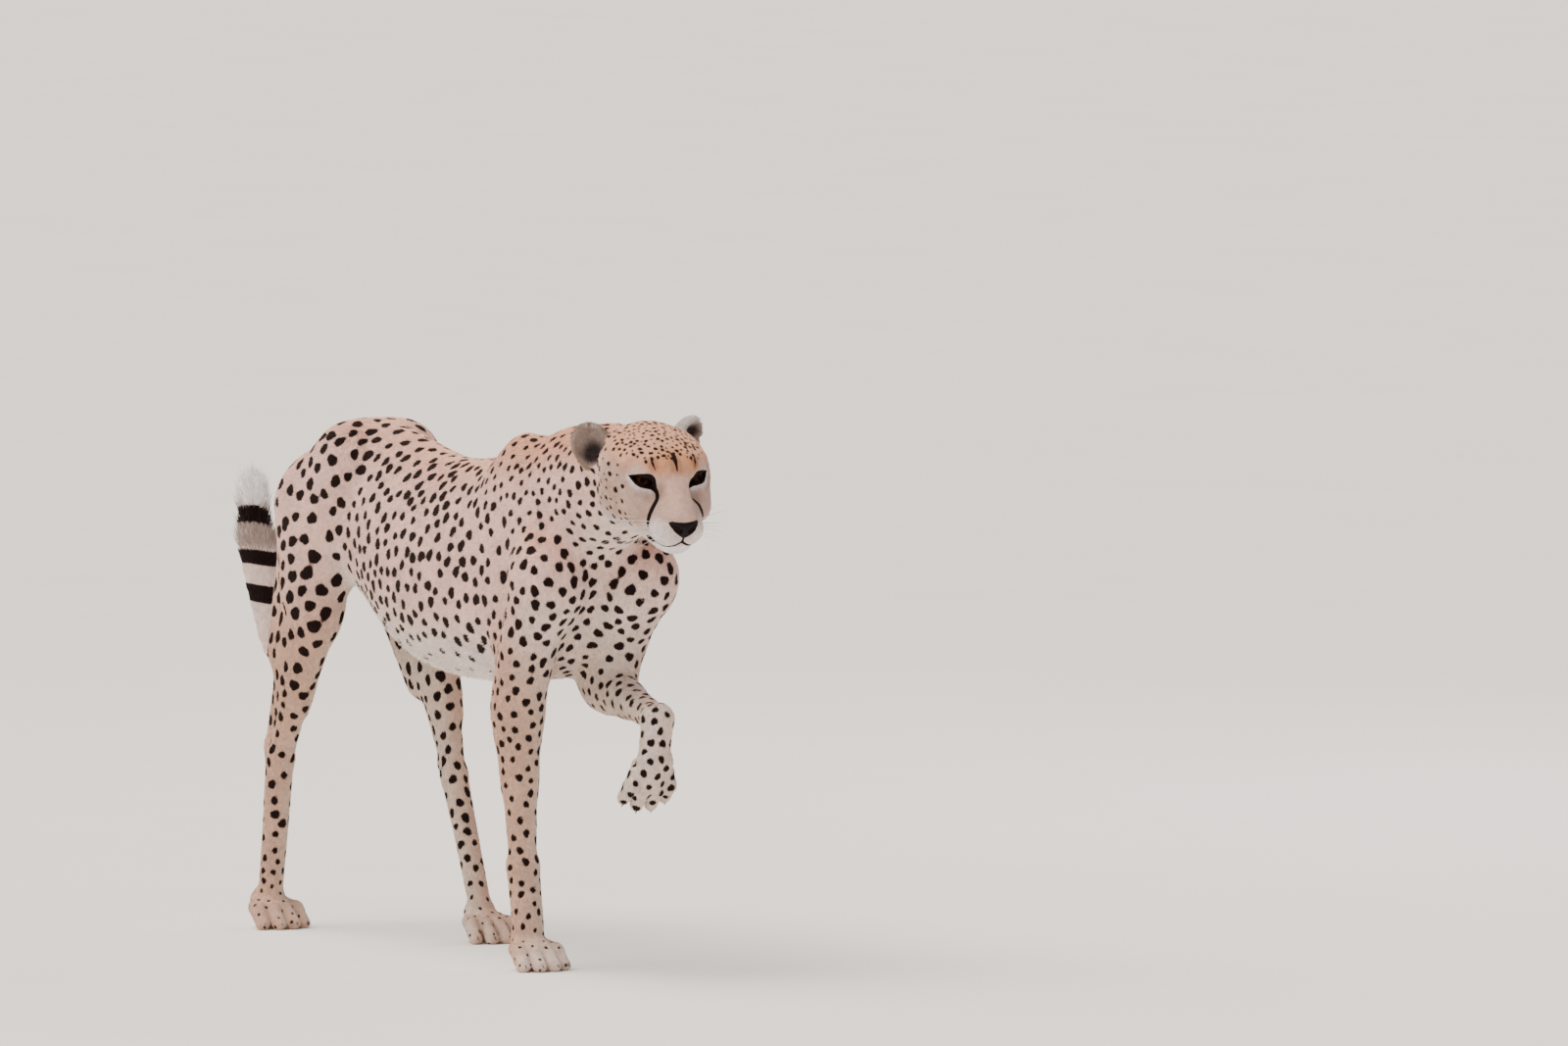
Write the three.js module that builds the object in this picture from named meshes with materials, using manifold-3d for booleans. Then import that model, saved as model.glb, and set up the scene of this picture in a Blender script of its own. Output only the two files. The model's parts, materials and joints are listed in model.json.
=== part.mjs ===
// A life-size walking cheetah, an adult male, as a still display model in millimetres.
//
// The body frame has +X towards the nose, +Y to the animal's left and +Z up, with the floor at Z = 0 and
// X = 0 under the withers. The flesh is one smooth field of muscles and bones; each named part is meshed
// from that field and parted from its neighbours by thin straight cuts.
import * as THREE from "three";
import { mergeVertices } from "three/addons/utils/BufferGeometryUtils.js";
import Module from "manifold-3d";

const wasm = await Module();
wasm.setup();

// ---------------------------------------------------------------- driving dimensions
const GAP = 0.3; // clear space between touching parts
const MOUTH_GAP = 0.9; // the lips' parting
const NOSE_ROOM = 1; // clear space round the nose leather
const PARTED = 0.05; // how far two sheets that would touch draw apart
const WITHERS_HEIGHT = 776;
const CROUP_HEIGHT = 767;
const BONES = { humerus: 205, radius: 240, pastern: 150, femur: 200, tibia: 240, metatarsus: 222 };
const BALL_HEIGHT = 34; // middle of the toe knuckles above the floor
const HIND_PAW = 1.02; // hind feet against forefeet
const PAW = { toeLength: 52, toeRadius: 13.5, spread: 17 };
const CLAW = { length: 13, radius: 3.4, rise: 3, droop: 5, sides: 5, rings: 4 };
const HEAD = {
  crownHeight: 802, crownRise: 56, x: 354, y: 0.5,
  yaw: -5.5, pitch: 24, roll: 2,
  size: 1.09, breadth: 1.03,
};
const EYE = { x: 37.5, y: 31.4, z: 7.2, radius: 17, outward: 27, slant: 21 };
// The lids' edges across the eye, from the inner corner to the outer one, as [outwards, up] from its middle.
const LIDS = {
  upper: [[-18.4, -4.8], [-14.4, 2.2], [-7.4, 6.8], [1.6, 6], [9.6, 2.4], [17.6, -3.8]],
  lower: [[13.6, -5.6], [7.6, -6.8], [-0.4, -7], [-10.4, -5.8]],
};
const EAR = { middle: [-62, 66, 2], height: 68, breadth: 58, depth: 38, wall: 7.5 };
const TAIL = { base: 30, middle: 25, end: 29, tuft: 31 };
const TUFT = { locks: 22, length: 38, breadth: 19, thickness: 7, splay: 4 };

// Each leg: y is the foot's distance off the midline, joint the shoulder or hip, ball the foot's knuckles as
// [x, z], lean how far the pastern slopes forwards, and elbowShare how far the elbow or knee stands from the
// joint's breadth towards the foot's. The left forepaw is off the floor in mid-stride.
const STANCE = {
  foreleg_left: { side: 1, y: 27, joint: [184, 574], wrist: [298, 374], pawTurn: 92, elbowShare: 0.1 },
  foreleg_right: { side: -1, y: 73, joint: [150, 576], ball: [106, BALL_HEIGHT], lean: 10 },
  hindleg_left: { side: 1, y: 80, joint: [-562, 644], ball: [-326, BALL_HEIGHT], lean: 22 },
  hindleg_right: { side: -1, y: 84, joint: [-630, 660], ball: [-690, BALL_HEIGHT], lean: -8 },
};

// ---------------------------------------------------------------- small vector helpers
const add = (a, b) => a.map((v, i) => v + b[i]);
const sub = (a, b) => a.map((v, i) => v - b[i]);
const scale = (a, k) => a.map((v) => v * k);
const mix = (a, b, t) => a.map((v, i) => v + (b[i] - v) * t);
const dot = (a, b) => a[0] * b[0] + a[1] * b[1] + a[2] * b[2];
const length = (a) => Math.hypot(...a);
const unit = (a) => scale(a, 1 / length(a));
const cross = (a, b) => [a[1] * b[2] - a[2] * b[1], a[2] * b[0] - a[0] * b[2], a[0] * b[1] - a[1] * b[0]];
const radians = (degrees) => (degrees * Math.PI) / 180;

// A smooth curve through [x, value] stations, as a function of x.
function through(stations) {
  const slope = stations.map((_, i) => {
    const [x0, v0] = stations[Math.max(i - 1, 0)];
    const [x1, v1] = stations[Math.min(i + 1, stations.length - 1)];
    return (v1 - v0) / (x1 - x0);
  });
  return (x) => {
    const last = stations.length - 2;
    let i = stations.findIndex(([next], n) => n > 0 && x <= next) - 1;
    if (i < 0) i = x < stations[0][0] ? 0 : last;
    const [x0, v0] = stations[i];
    const [x1, v1] = stations[i + 1];
    const span = x1 - x0;
    const t = Math.min(Math.max((x - x0) / span, 0), 1);
    const t2 = t * t;
    const t3 = t2 * t;
    return (
      v0 * (2 * t3 - 3 * t2 + 1) + v1 * (3 * t2 - 2 * t3) +
      slope[i] * span * (t3 - 2 * t2 + t) + slope[i + 1] * span * (t3 - t2)
    );
  };
}

// ---------------------------------------------------------------- fields
// A field is a function (x, y, z) of signed distance in millimetres, negative inside.

function smoothMin(a, b, k) {
  const h = Math.max(k - Math.abs(a - b), 0) / k;
  return Math.min(a, b) - h * h * k * 0.25;
}

const smoothMax = (a, b, k) => -smoothMin(-a, -b, k);

// A tapered capsule from a to b. flat scales its breadth along the side direction.
function limb(a, b, ra, rb, flat = 1, side = [0, 1, 0]) {
  const axis = sub(b, a);
  const span = length(axis);
  const n = scale(axis, 1 / span);
  const s = unit(sub(side, scale(n, dot(side, n))));
  const taper = (ra - rb) / span;
  const lean = Math.sqrt(1 - taper * taper);
  const middle = mix(a, b, 0.5);
  const reach = span / 2 + Math.max(ra, rb) * Math.max(1, flat);
  const field = (x, y, z) => {
    const px = x - a[0];
    const py = y - a[1];
    const pz = z - a[2];
    const h = px * n[0] + py * n[1] + pz * n[2];
    const across = px * s[0] + py * s[1] + pz * s[2];
    const square = Math.max(px * px + py * py + pz * pz - h * h, 0);
    const true_r = Math.sqrt(square);
    const rest = Math.max(square - across * across, 0);
    const r = Math.sqrt(rest + (across / flat) ** 2);
    const k = lean * h - taper * r;
    let d;
    if (k < 0) d = Math.hypot(r, h) - ra;
    else if (k > lean * span) d = Math.hypot(r, h - span) - rb;
    else d = r * lean + h * taper - ra;
    return r > 1e-6 ? d * Math.min(true_r / r, 1.5) : d;
  };
  return Object.assign(field, { middle, reach });
}

// An ellipsoid with its radii along x, y and z, tipped about y by pitch degrees, nose down.
function ball(c, [rx, ry, rz], pitch = 0) {
  const cp = Math.cos(radians(pitch));
  const sp = Math.sin(radians(pitch));
  const field = (x, y, z) => {
    const wx = x - c[0];
    const wz = z - c[2];
    const px = wx * cp - wz * sp;
    const py = y - c[1];
    const pz = wx * sp + wz * cp;
    const k0 = Math.hypot(px / rx, py / ry, pz / rz);
    const k1 = Math.hypot(px / (rx * rx), py / (ry * ry), pz / (rz * rz));
    return k1 > 1e-9 ? (k0 * (k0 - 1)) / k1 : -Math.min(rx, ry, rz);
  };
  return Object.assign(field, { middle: c, reach: Math.max(rx, ry, rz) });
}

// Forms melted into one field; each entry is [form, blend], and blend is how far it melts into the rest.
function melt(entries) {
  return (x, y, z) => {
    let d = Infinity;
    for (const [form, blend] of entries) {
      if (form.middle) {
        const [mx, my, mz] = form.middle;
        const away = Math.hypot(x - mx, y - my, z - mz) - form.reach;
        if (away > d + blend && away > 0) continue;
      }
      const e = form(x, y, z);
      d = d === Infinity ? e : smoothMin(d, e, blend);
    }
    return d === Infinity ? 1e3 : d;
  };
}

const mirrored = (form) => (x, y, z) => form(x, Math.abs(y), z);

// ---------------------------------------------------------------- skeleton
// The middle joint of a two-bone chain from a to c, bent towards +x when bend is 1.
function bendJoint(a, c, first, second, bend) {
  const span = Math.hypot(c[0] - a[0], c[1] - a[1]);
  const reach = Math.min(span, (first + second) * 0.999);
  const along = (first * first - second * second + reach * reach) / (2 * reach);
  const off = Math.sqrt(Math.max(first * first - along * along, 0));
  const u = [(c[0] - a[0]) / span, (c[1] - a[1]) / span];
  return [a[0] + u[0] * along - u[1] * off * bend, a[1] + u[1] * along + u[0] * off * bend];
}

// Joints of one leg from hip or shoulder down to the ball of the foot, as points in the body frame. place
// carries a point of the foot's own frame, x along the toes and z up from its sole, into the body frame.
function legJoints(name) {
  const { side, y, joint, ball: foot, lean, wrist, pawTurn = 0, elbowShare = 0.45 } = STANCE[name];
  const fore = name.startsWith("fore");
  const [upper, lower, foot_bone] = fore
    ? [BONES.humerus, BONES.radius, BONES.pastern - BALL_HEIGHT]
    : [BONES.femur, BONES.tibia, BONES.metatarsus];
  const ankle = wrist ?? [
    foot[0] - foot_bone * Math.sin(radians(lean)),
    foot[1] + foot_bone * Math.cos(radians(lean)),
  ];
  const middle = bendJoint(joint, ankle, upper, lower, fore ? -1 : 1);
  const top_y = fore ? 76 : 64;
  const at = ([px, pz], share) => [px, side * (top_y + (y - top_y) * share), pz];
  const cp = Math.cos(radians(pawTurn));
  const sp = Math.sin(radians(pawTurn));
  const drop = foot_bone * 0.64;
  const ball_at = foot ?? [ankle[0] + drop * cp, ankle[1] - drop * sp];
  const place = ([px, py, pz]) => {
    const rise = pz - BALL_HEIGHT;
    return [ball_at[0] + px * cp + rise * sp, side * y + py, ball_at[1] - px * sp + rise * cp];
  };
  return {
    side, fore, place,
    top: at(joint, 0),
    middle: at(middle, elbowShare),
    ankle: at(ankle, 0.88),
    foot: place([0, 0, BALL_HEIGHT]),
  };
}

const LEGS = Object.fromEntries(Object.keys(STANCE).map((name) => [name, legJoints(name)]));

// ---------------------------------------------------------------- trunk and neck
const TRUNK = {
  front: 176, // breast
  back: -692, // buttocks
  top: through([
    [-692, 596], [-668, 640], [-620, 698], [-560, 744], [-500, CROUP_HEIGHT], [-430, 760], [-340, 741],
    [-260, 727], [-180, 726], [-90, 736], [0, 748], [70, 736], [176, 650],
  ]),
  bottom: through([
    [-692, 560], [-640, 552], [-580, 540], [-520, 518], [-440, 474], [-370, 436],
    [-290, 410], [-200, 400], [-100, 400], [0, 412], [70, 442], [176, 540],
  ]),
  half: through([
    [-692, 46], [-640, 69], [-580, 80], [-500, 80], [-430, 84], [-360, 97],
    [-270, 108], [-190, 112], [-100, 108], [0, 98], [70, 90], [176, 62],
  ]),
};

// The trunk's sections are eggs across the spine; both ends close with a round.
function trunk(x, y, z) {
  const inside = Math.min(Math.max(x, TRUNK.back), TRUNK.front);
  const top = TRUNK.top(inside);
  const bottom = TRUNK.bottom(inside);
  const closing = Math.max((x - 80) / (TRUNK.front - 80), (-630 - x) / (-630 - TRUNK.back), 0);
  const round = Math.sqrt(Math.max(1 - Math.min(closing, 0.98) ** 2, 0));
  const half_high = ((top - bottom) / 2) * round;
  const middle = (top + bottom) / 2;
  const q = (z - middle) / half_high;
  const half_wide = TRUNK.half(inside) * round * (1 - 0.1 * Math.min(Math.max(q, -1), 1));
  const k0 = Math.hypot(y / half_wide, q);
  const k1 = Math.hypot(y / (half_wide * half_wide), q / half_high);
  const across = k1 > 1e-9 ? (k0 * (k0 - 1)) / k1 : -Math.min(half_wide, half_high);
  return Math.max(across, Math.abs(x - inside) + (x === inside ? -1e3 : 0));
}

const NECK = [
  // middle, half height, breadth over height
  { at: [20, 0, 654], r: 110, flat: 0.76 },
  { at: [140, -1, 689], r: 94, flat: 0.78 },
  { at: [230, -2, 712], r: 79, flat: 0.84 },
  { at: [300, -2, 721], r: 61, flat: 0.96 },
];

function neckForms() {
  return NECK.slice(1).map((next, i) => [
    limb(NECK[i].at, next.at, NECK[i].r, next.r, (NECK[i].flat + next.flat) / 2), 40,
  ]);
}

// ---------------------------------------------------------------- legs
function forelegForms({ side, top, middle, ankle, foot, place }) {
  const blade = [top[0] - 118, side * 42, WITHERS_HEIGHT - 38]; // upper end of the shoulder blade
  const elbow_point = add(middle, [-24, 0, 20]);
  return [
    [limb(blade, add(top, [-10, 0, 4]), 36, 48, 0.66), 34], // blade and its muscles
    [limb(add(blade, [-22, 0, -46]), elbow_point, 44, 26, 0.74), 34], // triceps
    [limb(top, middle, 54, 38, 0.86), 30], // upper arm
    [limb(add(top, [6, -side * 20, -20]), [40, side * 26, 470], 42, 40, 1), 36], // breast muscle
    [limb(mix(top, middle, 0.6), mix(middle, ankle, 0.2), 38, 32, 0.86), 26], // round the elbow
    [limb(mix(middle, ankle, 0.1), mix(middle, ankle, 0.5), 39, 27, 0.86), 26],
    [limb(mix(middle, ankle, 0.4), ankle, 28, 21, 0.96), 16],
    [limb(elbow_point, mix(middle, ankle, 0.35), 20, 18, 0.9), 14],
    [limb(ankle, mix(ankle, foot, 0.75), 23, 22, 1.1), 12], // wrist and pastern
    [limb(add(ankle, [-16, 0, -4]), add(ankle, [-17, 0, -14]), 10, 9), 10], // wrist pad
    ...pawForms(place, 1),
  ];
}

function hindlegForms({ side, top, middle, ankle, foot, place }) {
  const ischium = [-646, side * 48, 622];
  const hip_bone = [-506, side * 50, 702];
  const rump = [-602, side * 42, 656];
  const shin = unit(sub(ankle, middle));
  const behind = [shin[2], 0, -shin[0]]; // square to the shin, towards the calf
  const calf = add(mix(middle, ankle, 0.2), scale(behind, 30));
  const heel = add(ankle, [-27, 0, 14]);
  return [
    [limb(add(top, [36, 0, -30]), mix(top, middle, 0.75), 66, 58, 0.78), 44], // haunch
    [limb(hip_bone, rump, 48, 42, 0.86), 50], // rump
    [limb(hip_bone, add(middle, [-4, 0, 16]), 44, 38, 0.76), 44], // front of the thigh
    [limb(ischium, add(mix(middle, ankle, 0.36), scale(behind, 60)), 42, 38, 0.72), 34], // hamstrings
    [limb(add(middle, [4, 0, 8]), add(middle, [2, 0, -10]), 34, 32, 0.9), 22], // knee
    [limb(middle, mix(middle, ankle, 0.6), 40, 27, 0.86), 20], // shank
    [limb(mix(middle, ankle, 0.5), ankle, 25, 20, 0.88), 14],
    [limb(calf, add(heel, [0, 0, 10]), 40, 12, 0.76), 20], // calf and heel tendon
    [limb(heel, add(mix(ankle, foot, 0.3), [-8, 0, 0]), 13, 13, 0.9), 12], // heel bone
    [limb(ankle, mix(ankle, foot, 0.9), 21, 18.5, 1.02), 12],
    ...pawForms(place, HIND_PAW),
  ];
}

// Four toes in a shallow fan, the pads under them, and the heel pad behind.
function pawForms(place, size) {
  const forms = [
    [limb(place([-9, 0, 40]), place([14, 0, 30]), 19 * size, 18 * size, 1.42), 16],
    [limb(place([-6, 0, 13]), place([16, 0, 11]), 13, 12, 1.9), 12],
  ];
  for (const toe of toes(size)) {
    forms.push([limb(place(toe.root), place(toe.knuckle), toe.r * 0.98, toe.r, 0.88), 8]);
    forms.push([limb(place(toe.knuckle), place(toe.tip), toe.r, toe.r * 0.84, 0.92), 6]);
  }
  return forms;
}

// Where each toe runs in the foot's own frame, from root through knuckle to tip, and the way it points.
function toes(size) {
  return [-1.5, -0.5, 0.5, 1.5].map((place) => {
    const inner = Math.abs(place) < 1;
    const reach = PAW.toeLength * (inner ? 1 : 0.8) * size;
    const y = place * PAW.spread * size;
    const out = Math.sin(radians(place * 7));
    const r = PAW.toeRadius * size;
    return {
      r,
      root: [4, y, BALL_HEIGHT - 4],
      knuckle: [reach * 0.56, y + out * reach * 0.56, BALL_HEIGHT - 8],
      tip: [reach, y + out * reach, r * 0.66],
      heading: unit([Math.cos(radians(place * 7)), out, 0]),
    };
  });
}

// ---------------------------------------------------------------- tail
// It hangs behind the haunches, turns up near the hocks and ends in a bushy tip held high.
const TAIL_LINE = new THREE.CatmullRomCurve3(
  [
    [-640, 0, 680], [-680, 3, 646], [-706, 8, 592], [-722, 13, 526], [-736, 15, 462], [-756, 13, 404],
    [-790, 8, 384], [-824, 2, 410], [-846, -3, 470], [-864, -9, 540], [-876, -12, 596], [-880, -13, 642],
  ].map((p) => new THREE.Vector3(...p)),
  false, "centripetal",
);
const TAIL_STEPS = 26;
const tailRadius = through([
  [0, TAIL.base], [0.25, 26], [0.55, TAIL.middle], [0.8, TAIL.end], [1, TAIL.tuft],
]);

function tailForms() {
  const at = (i) => TAIL_LINE.getPointAt(i / TAIL_STEPS).toArray();
  return Array.from({ length: TAIL_STEPS }, (_, i) => [
    limb(at(i), at(i + 1), tailRadius(i / TAIL_STEPS), tailRadius((i + 1) / TAIL_STEPS)), 6,
  ]);
}

// ---------------------------------------------------------------- head
const headMatrix = (() => {
  const turn = new THREE.Matrix4()
    .makeRotationZ(radians(HEAD.yaw))
    .multiply(new THREE.Matrix4().makeRotationY(radians(HEAD.pitch)))
    .multiply(new THREE.Matrix4().makeRotationX(radians(HEAD.roll)))
    .multiply(new THREE.Matrix4().makeScale(HEAD.size, HEAD.size * HEAD.breadth, HEAD.size));
  return turn.setPosition(HEAD.x, HEAD.y, HEAD.crownHeight - HEAD.crownRise);
})();
const headInverse = headMatrix.clone().invert();
const headPoint = (p) => new THREE.Vector3(...p).applyMatrix4(headMatrix).toArray();
const headWay = (v) => unit(sub(headPoint(v), headPoint([0, 0, 0])));

// The head in its own frame: x to the nose, y to the left, z up, all from the middle of the skull.
const HEAD_MIDDLE = [
  [ball([-16, 0, 2], [68, 60, 45]), 20], // braincase
  [ball([26, 0, 8], [46, 47, 36], 12), 24], // forehead
  [limb([48, 0, 6], [98, 0, -22], 27, 16, 0.98), 20], // nose bridge
  [limb([34, 0, -32], [92, 0, -42], 42, 25, 0.92), 20], // muzzle
  [limb([16, 0, -56], [88, 0, -66], 28, 14, 1.05), 14], // lower jaw
  [ball([95, 0, -68], [16, 17, 12]), 10], // chin
];
const HEAD_SIDES = [
  [ball([4, 35, -22], [50, 34, 42]), 24], // cheek
  [ball([-14, 40, 6], [34, 22, 24]), 24], // temple
  [ball([0, 30, -48], [46, 30, 32]), 22], // jaw muscle
  [limb([46, 42, -14], [-4, 57, -8], 14, 15, 1), 16], // cheek bone
  [limb([48, 18, 26], [28, 44, 22], 11, 11, 1), 18], // brow
  [ball([94, 16, -45], [24, 18, 18]), 12], // whisker pad
  [ball([56, 36, -34], [26, 22, 22]), 18], // face under the eye
  [limb([0, 38, -54], [78, 14, -66], 20, 12, 1), 14], // side of the jaw
];

// The ear's own directions: up its long side, out of its cup, and across.
const EAR_WAYS = (() => {
  const up = unit([-0.3, 0.36, 0.88]);
  const facing = [0.87, 0.48, 0.04];
  const out = unit(sub(facing, scale(up, dot(facing, up))));
  return { up, out, across: cross(up, out) };
})();

function earEgg(centre, [tall, deep, broad]) {
  const { up, out, across } = EAR_WAYS;
  return (x, y, z) => {
    const p = [x - centre[0], y - centre[1], z - centre[2]];
    const a = dot(p, up) / tall;
    const b = dot(p, out) / deep;
    const c = dot(p, across) / broad;
    const k0 = Math.hypot(a, b, c);
    const k1 = Math.hypot(a / tall, b / deep, c / broad);
    return k1 > 1e-9 ? (k0 * (k0 - 1)) / k1 : -deep;
  };
}

const earForm = (() => {
  const [tall, broad, deep] = [EAR.height / 2, EAR.breadth / 2, EAR.depth / 2];
  const shell = earEgg(EAR.middle, [tall, deep, broad]);
  const hollow_at = add(EAR.middle, add(scale(EAR_WAYS.out, deep * 0.72), scale(EAR_WAYS.up, 2)));
  const hollow = earEgg(hollow_at, [tall - EAR.wall, deep + 1, broad - EAR.wall]);
  const stalk = limb([-22, 40, -4], add(EAR.middle, [6, -12, -8]), 26, 20);
  return {
    solid: (x, y, z) => smoothMin(shell(x, y, z), stalk(x, y, z), 12),
    hollow,
  };
})();

const headField = (() => {
  const middle = melt(HEAD_MIDDLE);
  const sides = melt(HEAD_SIDES);
  const socket = ball([70, 29.5, 0], [13, 11, 11]);
  const lids = ball([EYE.x, EYE.y, EYE.z], [20, 20, 20]);
  return (x, y, z) => {
    const side = Math.abs(y);
    let d = smoothMin(middle(x, y, z), sides(x, side, z), 18);
    d = smoothMax(d, -socket(x, side, z), 13);
    d = smoothMin(d, lids(x, side, z), 7);
    if (x < 12) {
      d = smoothMin(d, earForm.solid(x, side, z), 12);
      d = smoothMax(d, -earForm.hollow(x, side, z), 4);
    }
    return d * HEAD.size;
  };
})();

function headInBody(x, y, z) {
  const e = headInverse.elements;
  const hx = e[0] * x + e[4] * y + e[8] * z + e[12];
  const hy = e[1] * x + e[5] * y + e[9] * z + e[13];
  const hz = e[2] * x + e[6] * y + e[10] * z + e[14];
  return headField(hx, hy, hz);
}

// ---------------------------------------------------------------- the whole flesh
const torsoField = melt([
  [trunk, 1],
  ...neckForms(),
  [limb([110, 0, 610], [60, 0, 500], 74, 66, 0.8), 50], // breast
  ...["foreleg_left", "foreleg_right"].flatMap((name) => forelegForms(LEGS[name])),
  ...["hindleg_left", "hindleg_right"].flatMap((name) => hindlegForms(LEGS[name])),
]);
const tailField = melt(tailForms());

function flesh(x, y, z) {
  let d = torsoField(x, y, z);
  if (x > 200) d = smoothMin(d, headInBody(x, y, z), 26);
  if (x < -560) {
    const root = Math.min(Math.max((x + 715) / 40, 0), 1) * Math.min(Math.max((z - 600) / 60, 0), 1);
    d = smoothMin(d, tailField(x, y, z), 1 + 34 * root);
  }
  return d;
}

// ---------------------------------------------------------------- meshing a field
// Surface nets: one vertex in each grid cell that the surface crosses, then smoothed and put back on it.
function meshField(field, low, high, cell) {
  const counts = low.map((v, i) => Math.ceil((high[i] - v) / cell) + 1);
  const [nx, ny, nz] = counts;
  const index = (i, j, k) => i + nx * (j + ny * k);
  const values = new Float32Array(nx * ny * nz);
  for (let k = 0; k < nz; k++)
    for (let j = 0; j < ny; j++)
      for (let i = 0; i < nx; i++) {
        const edge = i === 0 || j === 0 || k === 0 || i === nx - 1 || j === ny - 1 || k === nz - 1;
        const d = field(low[0] + i * cell, low[1] + j * cell, low[2] + k * cell);
        values[index(i, j, k)] = edge ? Math.max(d, cell * 0.5) : d;
      }
  const vertices = [];
  const vertexOf = new Int32Array(values.length).fill(-1);
  const corners = [0, 1, 2, 3, 4, 5, 6, 7].map((c) => [c & 1, (c >> 1) & 1, (c >> 2) & 1]);
  const edges = [];
  for (let a = 0; a < 8; a++) for (const bit of [1, 2, 4]) if (!(a & bit)) edges.push([a, a | bit]);
  for (let k = 0; k < nz - 1; k++)
    for (let j = 0; j < ny - 1; j++)
      for (let i = 0; i < nx - 1; i++) {
        const at = corners.map(([a, b, c]) => values[index(i + a, j + b, k + c)]);
        const inside = at.filter((v) => v < 0).length;
        if (inside === 0 || inside === 8) continue;
        let sum = [0, 0, 0];
        let count = 0;
        for (const [a, b] of edges) {
          if (at[a] < 0 === at[b] < 0) continue;
          const t = at[a] / (at[a] - at[b]);
          sum = add(sum, mix(corners[a], corners[b], t));
          count++;
        }
        vertexOf[index(i, j, k)] = vertices.length;
        vertices.push(add(low, scale(add([i, j, k], scale(sum, 1 / count)), cell)));
      }
  const quads = [];
  const steps = [[1, 0, 0], [0, 1, 0], [0, 0, 1]];
  for (let k = 0; k < nz - 1; k++)
    for (let j = 0; j < ny - 1; j++)
      for (let i = 0; i < nx - 1; i++)
        steps.forEach((step, axis) => {
          const here = values[index(i, j, k)] < 0;
          const there = values[index(i + step[0], j + step[1], k + step[2])] < 0;
          if (here === there) return;
          const u = steps[(axis + 1) % 3];
          const v = steps[(axis + 2) % 3];
          const back = (su, sv) =>
            vertexOf[index(i - su * u[0] - sv * v[0], j - su * u[1] - sv * v[1], k - su * u[2] - sv * v[2])];
          const ring = [back(0, 0), back(1, 0), back(1, 1), back(0, 1)];
          quads.push(here ? ring : ring.reverse());
        });
  settle(vertices, quads, field, cell);
  return { vertices, quads };
}

// Evens out the mesh along the surface and puts each vertex back on it.
function settle(vertices, quads, field, cell, rounds = 4) {
  const near = vertices.map(() => new Set());
  for (const ring of quads)
    ring.forEach((a, n) => {
      near[a].add(ring[(n + 1) % 4]);
      near[a].add(ring[(n + 3) % 4]);
    });
  const h = 0.5;
  for (let round = 0; round < rounds; round++) {
    const even = vertices.map((v, i) => {
      const others = [...near[i]];
      const centre = scale(others.reduce((s, o) => add(s, vertices[o]), [0, 0, 0]), 1 / others.length);
      return mix(v, centre, 0.5);
    });
    even.forEach((p, i) => {
      let q = p;
      for (let n = 0; n < 2; n++) {
        const d = field(...q);
        const g = [
          (field(q[0] + h, q[1], q[2]) - field(q[0] - h, q[1], q[2])) / (2 * h),
          (field(q[0], q[1] + h, q[2]) - field(q[0], q[1] - h, q[2])) / (2 * h),
          (field(q[0], q[1], q[2] + h) - field(q[0], q[1], q[2] - h)) / (2 * h),
        ];
        const square = Math.max(dot(g, g), 0.04);
        const step = Math.min(Math.max(d / square, -cell * 0.5), cell * 0.5);
        q = sub(q, scale(g, step));
      }
      vertices[i] = length(sub(q, p)) < cell ? q : p;
    });
  }
}

function solidFrom(vertices, triangles) {
  const mesh = new wasm.Mesh({
    numProp: 3,
    vertProperties: new Float32Array(vertices.flat()),
    triVerts: new Uint32Array(triangles.flat()),
  });
  return new wasm.Manifold(mesh);
}

// Splits each quad along its shorter diagonal.
function fleshSolid(low, high, cell, field = flesh) {
  const { vertices, quads } = meshField(field, low, high, cell);
  const triangles = quads.flatMap(([a, b, c, d]) =>
    length(sub(vertices[a], vertices[c])) < length(sub(vertices[b], vertices[d]))
      ? [[a, b, c], [a, c, d]]
      : [[a, b, d], [b, c, d]],
  );
  return solidFrom(vertices, triangles);
}

// A three.js geometry as a solid, moved by a matrix.
function geometrySolid(geometry, matrix = new THREE.Matrix4()) {
  const bare = geometry.index ? geometry.toNonIndexed() : geometry.clone();
  const position = new THREE.BufferGeometry().setAttribute("position", bare.getAttribute("position"));
  const merged = mergeVertices(position.applyMatrix4(matrix), 1e-3);
  const solid = new wasm.Manifold(
    new wasm.Mesh({
      numProp: 3,
      vertProperties: merged.attributes.position.array,
      triVerts: new Uint32Array(merged.index.array),
    }),
  );
  return solid;
}

// A solid swept from rings of points, each ring as [x, y, z] points in the same turn, with flat ends.
function ringSolid(rings) {
  const n = rings[0].length;
  const triangles = [];
  for (let r = 0; r < rings.length - 1; r++)
    for (let i = 0; i < n; i++) {
      const a = r * n + i;
      const b = r * n + ((i + 1) % n);
      triangles.push([a, b, b + n], [a, b + n, a + n]);
    }
  const last = (rings.length - 1) * n;
  for (let i = 1; i < n - 1; i++) triangles.push([0, i + 1, i], [last, last + i, last + i + 1]);
  const solid = solidFrom(rings.flat(), triangles);
  return solid.volume() > 0 ? solid : solidFrom(rings.flat(), triangles.map(([a, b, c]) => [a, c, b]));
}

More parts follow.
